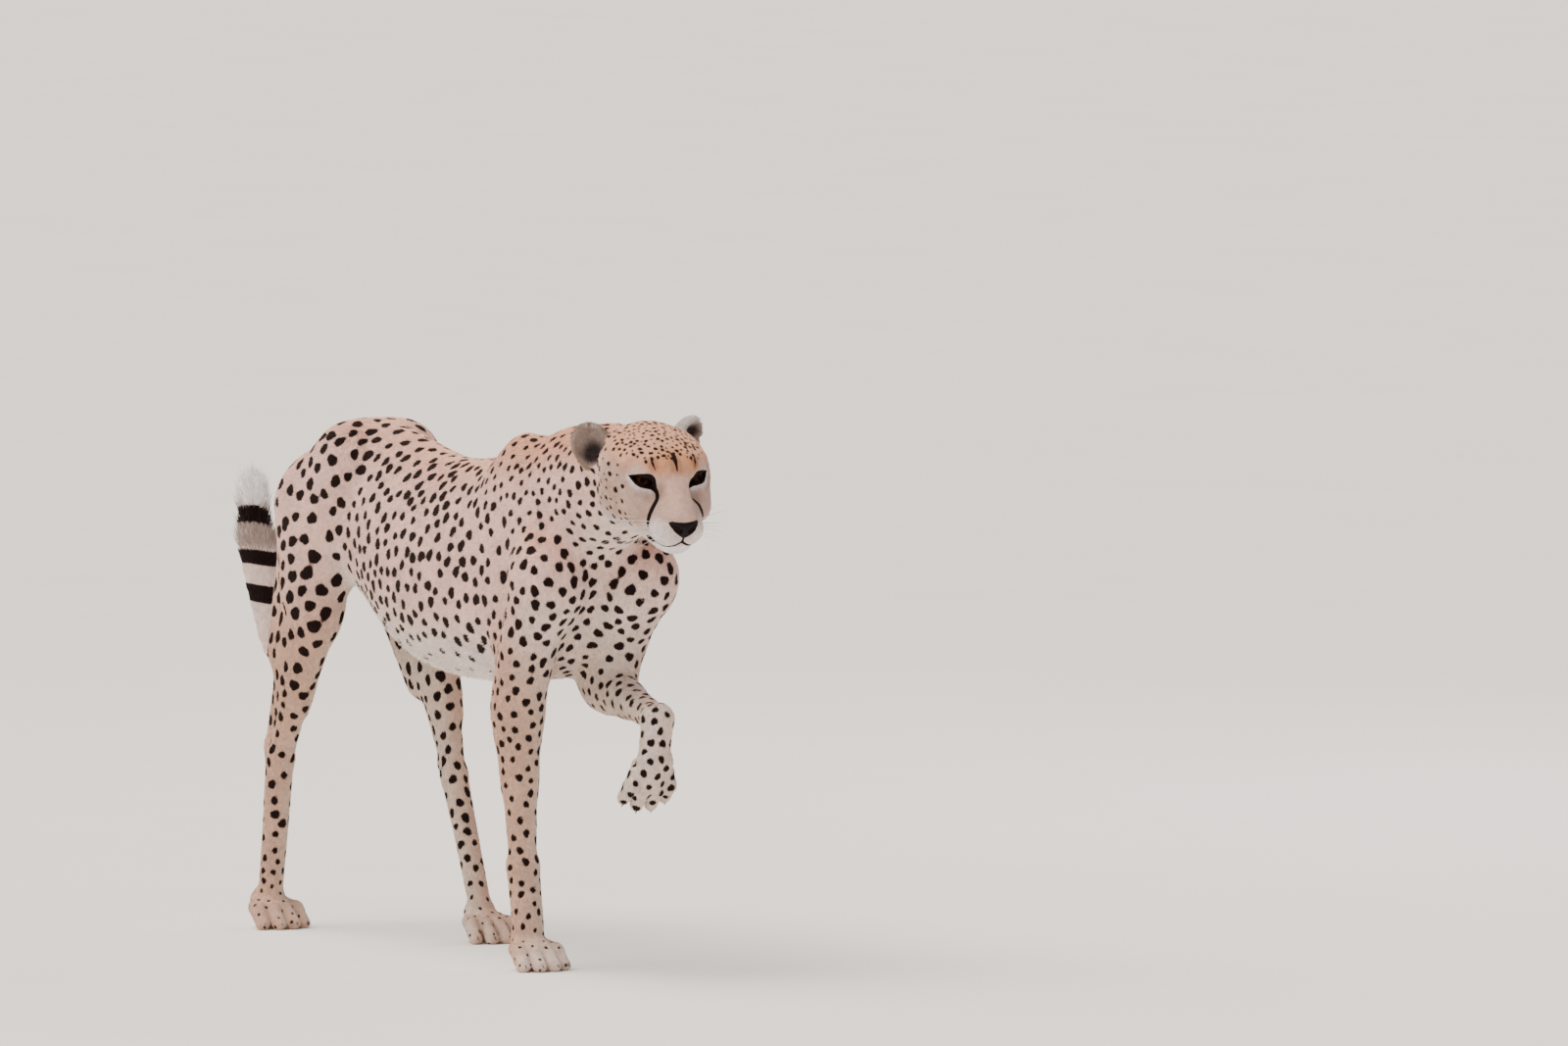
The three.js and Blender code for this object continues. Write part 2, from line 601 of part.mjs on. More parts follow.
// A blunt claw that leaves the toe's tip and droops; grow thickens it all round for its pocket.
function clawSolid(toe, place, grow) {
  const { length: long, radius, rise, droop, sides, rings } = CLAW;
  const side = cross([0, 0, 1], toe.heading);
  const base = add(add(toe.tip, scale(toe.heading, toe.r * 0.12)), [0, 0, rise]);
  const ring = (n) => {
    const t = n / (rings - 1);
    const along = t * long + (n === 0 ? -grow : 0) + (n === rings - 1 ? grow : 0);
    const centre = add(add(base, scale(toe.heading, along)), [0, 0, -droop * t * t]);
    const r = radius * (1 - 0.82 * t) + grow;
    return Array.from({ length: sides }, (_, i) => {
      const a = (2 * Math.PI * i) / sides;
      return place(add(centre, add(scale(side, 0.8 * r * Math.cos(a)), [0, 0, r * Math.sin(a)])));
    });
  };
  return ringSolid(Array.from({ length: rings }, (_, n) => ring(n)));
}

// ---------------------------------------------------------------- cuts
const FAR = 2400;

// Everything on the far side of a plane through a point, along its normal, set back by a clearance.
function beyond(point, normal, clearance = GAP / 2) {
  const n = new THREE.Vector3(...normal).normalize();
  const turn = new THREE.Quaternion().setFromUnitVectors(new THREE.Vector3(0, 0, 1), n);
  const centre = new THREE.Vector3(...point).addScaledVector(n, FAR / 2 + clearance);
  const place = new THREE.Matrix4().compose(centre, turn, new THREE.Vector3(1, 1, 1));
  return geometrySolid(new THREE.BoxGeometry(FAR, FAR, FAR), place);
}

// A convex cell is a list of [point, normal] planes, and holds what lies beyond them all.
const cell = (planes, clearance) =>
  planes.map(([p, n]) => beyond(p, n, clearance)).reduce((a, b) => a.intersect(b));
const flip = ([p, n]) => [p, scale(n, -1)];

function largest(solid) {
  const bodies = solid.decompose();
  return bodies.reduce((best, next) => (next.volume() > best.volume() ? next : best));
}

// ---------------------------------------------------------------- parting planes
const PLANES = {
  floor: [[0, 0, 0], [0, 0, 1]],
  occiput: [headPoint([-46, 0, 0]), headWay([1, 0, -0.3])],
  ear_left: [headPoint([-30, 54, 0]), headWay([-0.1, 1, 0.1])],
  ear_right: [headPoint([-30, -54, 0]), headWay([-0.1, -1, 0.1])],
  ear_front: [headPoint([0, 0, 0]), headWay([-1, 0, 0])],
  ear_back: [headPoint([-78, 0, 0]), headWay([1, 0, 0])],
  ear_under: [headPoint([0, 0, -22]), headWay([0, 0, 1])],
  jaw: [headPoint([117, 0, -58]), headWay([0.18, 0, -1])],
  jaw_back: [headPoint([56, 0, 0]), headWay([1, 0, -0.2])],
  neck_root: [[62, 0, 775], [0.675, 0, 0.737]],
  ribs: [[-210, 0, 600], [-1, 0, 0.1]],
  loin: [[-425, 0, 640], [-1, 0, 0.12]],
  dock: [[-690, 0, 636], [-0.6, 0, -0.8]],
  tail_end: [[-850, 0, 560], [0, 0, 1]],
  tail_rear: [[-780, 0, 560], [-1, 0, 0]],
};

const TAIL_SIDES = [[[0, -40, 0], [0, 1, 0]], [[0, 52, 0], [0, -1, 0]]];
const EAR_CELLS = [PLANES.ear_left, PLANES.ear_right].map((side) => [
  side,
  PLANES.ear_front,
  PLANES.ear_back,
  PLANES.ear_under,
]);

// The wedge outside the chest that holds a shoulder and upper arm, or outside the pelvis that holds a thigh.
function limbCell({ side, fore, top }) {
  if (fore)
    return [
      [[0, side * 1, 0], [0, side, 0]],
      [[0, side * 50, 560], [0, side, -0.2]],
      [[top[0] - 215, 0, 600], [1, 0, 0.1]],
      [[0, 0, WITHERS_HEIGHT - 30], [0.12, -side * 0.25, -1]],
    ];
  return [
    [[0, side * 1, 0], [0, side, 0]],
    [[0, side * 40, 640], [0, side, -0.3]],
    [[-404, 0, 600], [-1, 0, -0.55]],
    [[-530, side * 60, 712], [-0.05, side * 0.35, -1]],
  ];
}

// A square shaft of space from a leg's joint plane down, which the body keeps clear of.
function legShaft(leg, clearance = GAP) {
  const [point, down] = legPlanes(leg).joint;
  const up = new THREE.Vector3(0, 0, 1);
  const turn = new THREE.Quaternion().setFromUnitVectors(up, new THREE.Vector3(...down));
  const height = 400;
  const centre = add(point, scale(down, height / 2 - clearance));
  const place = new THREE.Matrix4().compose(new THREE.Vector3(...centre), turn, new THREE.Vector3(1, 1, 1));
  const deep = leg.fore ? 92 : 212;
  return geometrySolid(new THREE.BoxGeometry(deep + 2 * clearance, 104 + 2 * clearance, height), place);
}

function legPlanes({ fore, middle, ankle, foot }) {
  const down = unit(sub(ankle, middle));
  const pad = unit(sub(foot, ankle));
  return {
    joint: [mix(middle, ankle, fore ? 0.12 : 0.16), down],
    ankle: [mix(ankle, middle, fore ? 0.02 : 0.1), unit(add(down, pad))],
    ball: [mix(ankle, foot, 0.7), pad],
  };
}

const around = (points, margin) => [
  [0, 1, 2].map((i) => Math.min(...points.map((p) => p[i])) - margin),
  [0, 1, 2].map((i) => Math.max(...points.map((p) => p[i])) + margin),
];

// ---------------------------------------------------------------- making the parts
const TAIL_BOX = around(TAIL_LINE.getPoints(40).map((p) => p.toArray()), 50);
const TAIL_CLEARANCE = 3; // between the hanging tail and the haunches
const made = new Map();
const keep = (name, solid, slot = "coat") => made.set(name, { slot, solid: largest(solid) });

const SIZES = { trunk: 33, neck: 31, thigh: 31, leg: 19.5, paw: 13, tail: 22, head: 11, ear: 8.2, nose: 4.8 };

const roomFor = (...names) => cell(names.map((name) => PLANES[name]), -GAP / 2);

function makeTrunk() {
  const roomOf = (leg) => cell(limbCell(leg), -GAP / 2).add(legShaft(leg));
  const room = (names) => names.map((name) => roomOf(LEGS[name])).reduce((a, b) => a.add(b));
  const shoulders = room(["foreleg_left", "foreleg_right"]);
  const thighs = room(["hindleg_left", "hindleg_right"]);
  const whole = fleshSolid([-730, -170, 330], [270, 170, 810], SIZES.trunk);
  const tail_root = cell([PLANES.dock, ...TAIL_SIDES], -GAP / 2);
  const ahead = whole.intersect(beyond(...flip(PLANES.ribs)));
  keep("chest", ahead.subtract(shoulders).subtract(roomFor("neck_root")));
  keep("belly", whole.intersect(cell([PLANES.ribs, flip(PLANES.loin)])).subtract(thighs).subtract(shoulders));
  keep("pelvis", whole.intersect(beyond(...PLANES.loin)).subtract(thighs).subtract(tail_root));
  const neck = fleshSolid([90, -130, 500], [400, 130, 850], SIZES.neck);
  const ears = EAR_CELLS.map((planes) => cell(planes, -GAP / 2)).reduce((a, b) => a.add(b));
  keep("neck", neck.intersect(cell([PLANES.neck_root, flip(PLANES.occiput)])).subtract(ears));
}

function makeLegs() {
  const tail_room = fleshSolid(...TAIL_BOX, SIZES.tail, (x, y, z) => tailField(x, y, z) - TAIL_CLEARANCE);
  for (const [name, leg] of Object.entries(LEGS)) {
    const { fore, top, middle, ankle, foot, place } = leg;
    const planes = legPlanes(leg);
    const own = melt(fore ? forelegForms(leg) : hindlegForms(leg));
    const side_name = name.split("_")[1];
    const reach = fore
      ? [top, middle, [top[0] - 120, top[1], WITHERS_HEIGHT - 60], [-60, top[1], 500]]
      : [top, middle, [-640, top[1], 600]];
    const upper = fleshSolid(...around(reach, fore ? 84 : 104), SIZES.thigh, fore ? flesh : torsoField)
      .intersect(cell(limbCell(leg)))
      .subtract(legShaft(leg))
      .subtract(fore ? roomFor("neck_root") : tail_room);
    keep(`${fore ? "shoulder" : "thigh"}_${side_name}`, upper);
    const shaft = fleshSolid(...around([middle, ankle], 62), SIZES.leg, own);
    keep(`${fore ? "forearm" : "shank"}_${side_name}`,
      shaft.intersect(cell([planes.joint, flip(planes.ankle)])).intersect(legShaft(leg, 0)));
    const paw_box = around([mix(ankle, foot, fore ? 0 : 0.6), foot, place([PAW.toeLength + 16, 0, 0])], 44);
    const paw = fleshSolid(...paw_box, SIZES.paw, own)
      .intersect(beyond(...(fore ? planes.ankle : planes.ball)))
      .intersect(beyond(...PLANES.floor, 0));
    if (!fore) {
      const bone = fleshSolid(...around([ankle, foot], 50), SIZES.leg, own);
      keep(`hock_${side_name}`, bone.intersect(cell([planes.ankle, flip(planes.ball)])));
    }
    const paw_name = `${fore ? "forepaw" : "hindpaw"}_${side_name}`;
    const claws = toes(fore ? 1 : HIND_PAW).map((toe) => (grow) => clawSolid(toe, place, grow));
    keep(paw_name, claws.reduce((solid, claw) => solid.subtract(claw(GAP)), paw));
    claws.forEach((claw, i) => keep(`claw_${paw_name}_${i + 1}`, claw(0), "horn"));
  }
}

// The nose leather: the muzzle's front between two wings that narrow to a point, with curling nostrils.
const noseBreadth = through([[-48, 0.5], [-45, 4], [-40, 10.5], [-34, 17], [-29, 21], [-24, 20], [-20, 15]]);

function noseForm(x, y, z) {
  const front = headField(x, y, z) / HEAD.size - 2;
  const wings = (Math.abs(y) - noseBreadth(z)) * 0.78;
  const ends = Math.max(z + 21.5 - 0.06 * Math.abs(y), -47.5 - z, 99 - x);
  return smoothMax(smoothMax(front, wings, 4), ends, 3);
}
const nostrils = mirrored(
  melt([
    [limb([122, 7.5, -33], [114, 12.5, -31], 4.2, 3.9), 1],
    [limb([114, 12.5, -31], [106, 18.5, -34], 3.9, 2.4), 2],
  ]),
);

// A field given in the head's frame, as a solid in the body frame.
function headSolid(field, box, size) {
  const { vertices, quads } = meshField(field, ...box, size);
  const moved = vertices.map((v) => new THREE.Vector3(...v).applyMatrix4(headMatrix).toArray());
  return solidFrom(moved, quads.flatMap(([a, b, c, d]) => [[a, b, c], [a, c, d]]));
}

function eyeball(side, radius) {
  const at = new THREE.Matrix4().makeTranslation(EYE.x, side * EYE.y, EYE.z);
  return geometrySolid(new THREE.IcosahedronGeometry(radius, 3), headMatrix.clone().multiply(at));
}

// The gap between the lids, swept out along the eye's gaze, its inner corner lower.
function eyeOpening(side) {
  const turn = radians(EYE.outward);
  const slant = radians(EYE.slant);
  const gaze = [Math.cos(turn), side * Math.sin(turn), 0];
  const level = [-side * Math.sin(turn), Math.cos(turn), 0];
  const across = add(scale(level, Math.cos(slant)), [0, 0, side * Math.sin(slant)]);
  const edge = [...LIDS.upper, ...LIDS.lower].map(([out, up]) => new THREE.Vector2(side * out, up));
  const geometry = new THREE.ExtrudeGeometry(new THREE.Shape(edge), { depth: 40, bevelEnabled: false });
  const ways = [across, cross(gaze, across), gaze];
  const basis = new THREE.Matrix4().makeBasis(...ways.map((v) => new THREE.Vector3(...v)));
  basis.setPosition(EYE.x, side * EYE.y, EYE.z);
  return geometrySolid(geometry, headMatrix.clone().multiply(basis));
}

function makeHead() {
  const box = around([[-62, 0, 0], [130, 0, -80]].map(headPoint), 96);
  const jaw_cell = [PLANES.jaw, PLANES.jaw_back];
  const whole = fleshSolid(...box, SIZES.head).intersect(cell([PLANES.occiput, PLANES.neck_root]));
  const head = EAR_CELLS.reduce((solid, planes) => solid.subtract(cell(planes, -GAP / 2)), whole);
  const nose_box = around([[104, 0, -35]], 34);
  const nose_room = headSolid((x, y, z) => noseForm(x, y, z) - NOSE_ROOM, nose_box, SIZES.nose);
  const openings = [1, -1].map((side) => eyeOpening(side).add(eyeball(side, EYE.radius + GAP)));
  const rooms = [cell(jaw_cell, -MOUTH_GAP / 2), nose_room, ...openings];
  keep("head", rooms.reduce((solid, room) => solid.subtract(room), head));
  const pierced = (x, y, z) => smoothMax(noseForm(x, y, z), -nostrils(x, y, z), 1.5);
  keep("nose", headSolid(pierced, nose_box, SIZES.nose), "leather");
  keep("eye_left", eyeball(1, EYE.radius), "eye");
  keep("eye_right", eyeball(-1, EYE.radius), "eye");
  keep("jaw", whole.intersect(cell(jaw_cell, MOUTH_GAP / 2)));
  EAR_CELLS.forEach((planes, i) => {
    const side = i === 0 ? 1 : -1;
    const ear_box = around([headPoint([EAR.middle[0], side * EAR.middle[1], EAR.middle[2]])], 54);
    keep(`ear_${i === 0 ? "left" : "right"}`, fleshSolid(...ear_box, SIZES.ear).intersect(cell(planes)));
  });
}

// One flat tapered lock along the tail's end, its root sunk in the flesh.
function tuftLock(n) {
  const golden = 2.39996;
  const share = n / (TUFT.locks - 1);
  const along = 0.83 + 0.15 * share;
  const centre = TAIL_LINE.getPointAt(along).toArray();
  const way = TAIL_LINE.getTangentAt(along).toArray();
  const first = unit(cross(way, [0, 1, 0]));
  const second = cross(way, first);
  const turn = n * golden;
  const out = add(scale(first, Math.cos(turn)), scale(second, Math.sin(turn)));
  const lean = radians(TUFT.splay);
  const heading = unit(add(scale(way, Math.cos(lean)), scale(out, Math.sin(lean))));
  const across = cross(heading, out);
  const root = add(centre, scale(out, tailRadius(along) - 7));
  const rings = [[0, 1], [0.5, 0.95], [0.85, 0.7], [1, 0.3]].map(([t, size]) => {
    const middle = add(root, scale(heading, t * TUFT.length * (0.9 + 0.2 * ((n * 0.37) % 1))));
    const curl = add(middle, scale(out, -6 * t * t));
    return [[1, 0], [0, 1], [-1, 0], [0, -1]].map(([a, b]) =>
      add(curl, scale(add(scale(across, a * TUFT.breadth), scale(out, b * TUFT.thickness)), 0.5 * size)),
    );
  });
  return ringSolid(rings);
}

function makeTail() {
  const tail = fleshSolid(...TAIL_BOX, SIZES.tail, tailField).intersect(beyond(...PLANES.dock));
  const tip = cell([PLANES.tail_end, PLANES.tail_rear]);
  keep("tail", tail.subtract(cell([PLANES.tail_end, PLANES.tail_rear], -GAP / 2)));
  const locks = Array.from({ length: TUFT.locks }, (_, n) => tuftLock(n));
  keep("tail_tip", locks.reduce((solid, lock) => solid.add(lock), tail.intersect(tip)).intersect(tip));
}

makeTrunk();
makeLegs();
makeHead();
makeTail();

// ---------------------------------------------------------------- the model
const MATERIALS = {
  coat: new THREE.MeshStandardMaterial({ name: "coat", color: 0xd2b48c, roughness: 0.9 }),
  leather: new THREE.MeshStandardMaterial({ name: "leather", color: 0x1d1817, roughness: 0.5 }),
  eye: new THREE.MeshStandardMaterial({ name: "eye", color: 0x8a4b1c, roughness: 0.1 }),
  horn: new THREE.MeshStandardMaterial({ name: "horn", color: 0x2b2420, roughness: 0.4 }),
};

// Where two sheets of a solid share an edge or a point, each draws in a hair so that they part.
function partPinches({ vertProperties: at, triVerts }) {
  const corner = (i) => [at[3 * i], at[3 * i + 1], at[3 * i + 2]];
  const shared = new Map();
  for (let i = 0; i < at.length / 3; i++) {
    const key = corner(i).map((v) => v.toFixed(3)).join();
    shared.set(key, [...(shared.get(key) ?? []), i]);
  }
  const doubled = [...shared.values()].filter((group) => group.length > 1).flat();
  const inward = new Map(doubled.map((i) => [i, [0, 0, 0]]));
  for (let t = 0; t < triVerts.length; t += 3) {
    const ring = [triVerts[t], triVerts[t + 1], triVerts[t + 2]];
    const [a, b, c] = ring.map(corner);
    const normal = cross(sub(b, a), sub(c, a));
    for (const i of ring) if (inward.has(i)) inward.set(i, sub(inward.get(i), normal));
  }
  for (const [i, way] of inward) corner(i).forEach((v, n) => (at[3 * i + n] = v + PARTED * unit(way)[n]));
}

function threeMesh(name, { slot, solid }) {
  const mesh = solid.getMesh();
  partPinches(mesh);
  const geometry = new THREE.BufferGeometry()
    .setAttribute("position", new THREE.BufferAttribute(mesh.vertProperties, 3))
    .setIndex(new THREE.BufferAttribute(mesh.triVerts, 1));
  geometry.computeVertexNormals();
  const piece = new THREE.Mesh(geometry, MATERIALS[slot].clone());
  piece.name = name;
  return piece;
}

// The origin is put on the floor under the middle of the whole.
const cheetah = new THREE.Group();
for (const [name, part] of made) cheetah.add(threeMesh(name, part));
const bounds = new THREE.Box3().setFromObject(cheetah);
const middle = bounds.getCenter(new THREE.Vector3());
cheetah.position.set(-middle.x, -middle.y, -bounds.min.z);

export default cheetah;
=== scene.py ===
"""A life-size model of a walking cheetah: skin, spotted coat, eyes, nose leather, whiskers and claws.

Shapes are worked out in millimetres in the animal's own frame, x to the head, y to its left and z up from the
floor, and go into the row's frame in metres when a mesh is made.
"""

import json
import logging
import math
from dataclasses import dataclass, field
from enum import Enum
from functools import partial
from itertools import product
from typing import Callable, Iterable, Sequence

import bpy
import numpy as np
from bpy.types import Material, NodeSocket, NodeTree, Object
from mathutils import Matrix, Vector
from numpy.linalg import norm

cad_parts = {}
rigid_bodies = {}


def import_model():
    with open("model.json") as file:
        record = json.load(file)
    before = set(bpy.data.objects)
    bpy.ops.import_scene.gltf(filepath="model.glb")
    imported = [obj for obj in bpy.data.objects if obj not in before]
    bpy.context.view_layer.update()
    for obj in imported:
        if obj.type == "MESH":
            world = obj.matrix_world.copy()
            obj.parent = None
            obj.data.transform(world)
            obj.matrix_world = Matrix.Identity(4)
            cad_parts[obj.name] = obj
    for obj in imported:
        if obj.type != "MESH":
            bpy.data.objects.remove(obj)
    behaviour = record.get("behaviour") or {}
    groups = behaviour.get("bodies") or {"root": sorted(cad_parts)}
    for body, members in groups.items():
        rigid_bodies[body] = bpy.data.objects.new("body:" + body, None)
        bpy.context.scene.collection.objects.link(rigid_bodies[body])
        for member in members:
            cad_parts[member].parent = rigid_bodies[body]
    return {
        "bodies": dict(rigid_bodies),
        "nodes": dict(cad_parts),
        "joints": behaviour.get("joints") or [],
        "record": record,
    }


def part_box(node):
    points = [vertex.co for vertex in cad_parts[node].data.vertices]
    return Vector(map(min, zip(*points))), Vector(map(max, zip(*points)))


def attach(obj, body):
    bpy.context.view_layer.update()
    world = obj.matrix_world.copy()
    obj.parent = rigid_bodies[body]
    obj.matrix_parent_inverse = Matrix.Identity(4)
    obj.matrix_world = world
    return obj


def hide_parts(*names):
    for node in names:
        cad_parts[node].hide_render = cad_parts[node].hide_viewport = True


log = logging.getLogger("cheetah")

Values = np.ndarray
Points = np.ndarray
Field = Callable[[Points], Values]
Triple = tuple[float, float, float]
Outputs = bpy.types.bpy_prop_collection

MM = 0.001


# ---- numbers and ways
def unit(way: Sequence[float]) -> Values:
    """Turn a way into one of length 1."""
    way = np.asarray(way, float)
    return way / norm(way)


def mix(a: Sequence[float], b: Sequence[float], share: float) -> Values:
    """Find the point a share of the way from a to b."""
    return np.asarray(a, float) + (np.asarray(b, float) - np.asarray(a, float)) * share


def smooth_min(a: Values, b: Values, blend: float | Values) -> Values:
    """Join two fields, melting them where they come within the blend of each other."""
    h = np.maximum(blend - np.abs(a - b), 0.0) / blend
    return np.minimum(a, b) - h * h * (blend * 0.25)


def smooth_max(a: Values, b: Values, blend: float) -> Values:
    """Keep what two fields share, rounding the edge between them."""
    return -smooth_min(-a, -b, blend)


def ease(value: Values, low: float, high: float) -> Values:
    """Rise smoothly from 0 at low to 1 at high."""
    t = np.clip((value - low) / (high - low), 0.0, 1.0)
    return t * t * (3.0 - 2.0 * t)


def fold(q: Values) -> Values:
    """Fold points over the midline to the left side."""
    return q * (1, 0, 1) + np.abs(q) * (0, 1, 0)


def through(stations: Sequence[tuple[float, float]]) -> Callable[[Values], Values]:
    """Make a smooth curve through stations.

    Args:
        stations: pairs of a place and the value there, in rising order of place.

    Returns:
        A function from places to values, level past both ends.
    """
    x = np.array([s[0] for s in stations], float)
    v = np.array([s[1] for s in stations], float)
    before = np.maximum(np.arange(len(x)) - 1, 0)
    after = np.minimum(np.arange(len(x)) + 1, len(x) - 1)
    slope = (v[after] - v[before]) / (x[after] - x[before])

    def curve(at: Values) -> Values:
        """Find the value at each place."""
        at = np.asarray(at, float)
        i = np.clip(np.searchsorted(x, at, side="left") - 1, 0, len(x) - 2)
        span = x[i + 1] - x[i]
        t = np.clip((at - x[i]) / span, 0.0, 1.0)
        t2, t3 = t * t, t * t * t
        ends = v[i] * (2 * t3 - 3 * t2 + 1) + v[i + 1] * (3 * t2 - 2 * t3)
        return ends + slope[i] * span * (t3 - 2 * t2 + t) + slope[i + 1] * span * (t3 - t2)

    return curve


def along_curve(points: Sequence[Sequence[float]], steps: int) -> Values:
    """Lay evenly spaced points along a smooth curve through a few chosen points.

    Args:
        points: the chosen points, in order.
        steps: the number of spans between the points laid.

    Returns:
        steps + 1 points, evenly spaced by length.
    """
    p = np.asarray(points, float)
    ends = np.vstack([2 * p[0] - p[1], p, 2 * p[-1] - p[-2]])
    gap = norm(np.diff(ends, axis=0), axis=1)[:, None] ** 0.5
    t = np.linspace(0, 1, 24, endpoint=False)[:, None]
    fine = []
    for i in range(1, len(ends) - 2):
        a, b, c, d = ends[i - 1 : i + 3]
        before, here, after = gap[i - 1 : i + 2]
        start = ((b - a) / before - (c - a) / (before + here) + (c - b) / here) * here
        end = ((c - b) / here - (d - b) / (here + after) + (d - c) / after) * here
        ends_held = b * (2 * t**3 - 3 * t**2 + 1) + c * (3 * t**2 - 2 * t**3)
        fine.append(ends_held + start * (t**3 - 2 * t**2 + t) + end * (t**3 - t**2))
    fine = np.vstack([*fine, p[-1:]])
    run = np.concatenate([[0.0], np.cumsum(norm(np.diff(fine, axis=0), axis=1))])
    want = np.linspace(0.0, run[-1], steps + 1)
    return np.stack([np.interp(want, run, fine[:, k]) for k in range(3)], axis=1)


# ---- forms
@dataclass(frozen=True)
class Form:
    """A simple body, as a field of signed distance, and how far it melts into its neighbours."""

    shape: Field
    blend: float
    middle: Values | None = None
    reach: float = 0.0


def limb(
    a: Sequence[float], b: Sequence[float], ra: float, rb: float, blend: float, flat: float = 1.0,
    side: Triple = (0, 1, 0),
) -> Form:
    """Make a tapered, round-ended limb.

    Args:
        a: the middle of its first end.
        b: the middle of its second end.
        ra: the radius at a.
        rb: the radius at b.
        blend: how far it melts into its neighbours.
        flat: its breadth along side, as a share of its depth.
        side: the way that flat is measured.

    Returns:
        The limb as a form.
    """
    start = np.asarray(a, float)
    axis = np.asarray(b, float) - start
    span = float(norm(axis))
    n = axis / span
    s = unit(np.asarray(side, float) - n * float(np.dot(side, n)))
    taper = (ra - rb) / span
    lean = math.sqrt(1 - taper * taper)

    def shape(p: Points) -> Values:
        """Measure the limb."""
        q = p - start
        h = q @ n
        across = q @ s
        square = np.maximum((q * q).sum(1) - h * h, 0.0)
        rest = np.maximum(square - across * across, 0.0)
        r = np.sqrt(rest + (across / flat) ** 2)
        k = lean * h - taper * r
        d = np.where(
            k < 0,
            np.hypot(r, h) - ra,
            np.where(k > lean * span, np.hypot(r, h - span) - rb, r * lean + h * taper - ra),
        )
        return d * np.where(r > 1e-6, np.minimum(np.sqrt(square) / np.maximum(r, 1e-6), 1.5), 1.0)

    return Form(shape, blend, mix(a, b, 0.5), span / 2 + max(ra, rb) * max(1.0, flat))


def ellipsoid(centre: Sequence[float], radii: Triple, frame: Values) -> Field:
    """Make the field of an ellipsoid.

    Args:
        centre: its middle.
        radii: its radii along the frame's columns.
        frame: the ways that the radii lie along, one in each column.

    Returns:
        A field close to the distance from its surface.
    """
    c, r = np.asarray(centre, float), np.asarray(radii, float)

    def shape(p: Points) -> Values:
        """Measure the ellipsoid."""
        q = (p - c) @ frame
        k0 = np.sqrt(((q / r) ** 2).sum(1))
        k1 = np.maximum(np.sqrt(((q / (r * r)) ** 2).sum(1)), 1e-9)
        return k0 * (k0 - 1) / k1

    return shape


def ball(centre: Sequence[float], radii: Triple, blend: float, pitch: float = 0.0) -> Form:
    """Make an ellipsoid that melts into its neighbours.

    Args:
        centre: its middle.
        radii: its radii along x, y and z.
        blend: how far it melts into its neighbours.
        pitch: how far it is tipped nose down, in degrees.

    Returns:
        The ellipsoid as a form.
    """
    cp, sp = math.cos(math.radians(pitch)), math.sin(math.radians(pitch))
    turn = np.array([[cp, 0, sp], [0, 1, 0], [-sp, 0, cp]])
    return Form(ellipsoid(centre, radii, turn), blend, np.asarray(centre, float), float(max(radii)))


def melt(forms: Iterable[Form]) -> Field:
    """Melt forms together, in order.

    Args:
        forms: the forms.

    Returns:
        One field for all of them.
    """
    forms = list(forms)

    def shape(p: Points) -> Values:
        """Measure the melted forms."""
        d = np.full(len(p), 1e3)
        for form in forms:
            if form.middle is None:
                d = smooth_min(d, form.shape(p), form.blend)
                continue
            away = norm(p - form.middle, axis=1) - form.reach
            near = (away <= d + form.blend) | (away <= 0)
            if near.any():
                d[near] = smooth_min(d[near], form.shape(p[near]), form.blend)
        return d

    return shape


def turn_about(axis: str, degrees: float) -> Values:
    """Make a rotation about x, y or z."""
    return np.array(Matrix.Rotation(math.radians(degrees), 3, axis))


# ---- the skeleton and the stance
@dataclass(frozen=True)
class Bones:
    """Lengths between joints."""

    humerus: float = 205
    radius: float = 240
    pastern: float = 150
    femur: float = 200
    tibia: float = 240
    metatarsus: float = 222


@dataclass(frozen=True)
class Paw:
    """Sizes of a forepaw; a hind paw is a little larger."""

    toe_length: float = 52
    toe_radius: float = 13.5
    outer_toe: float = 0.8  # length over an inner toe's
    fan: float = 7  # degrees between toes
    spread: float = 17
    ball_height: float = 34
    hind_size: float = 1.02


@dataclass(frozen=True)
class Toe:
    """One toe in the foot's own frame, x along the toes and z up from the sole."""

    radius: float
    root: Values
    knuckle: Values
    tip: Values


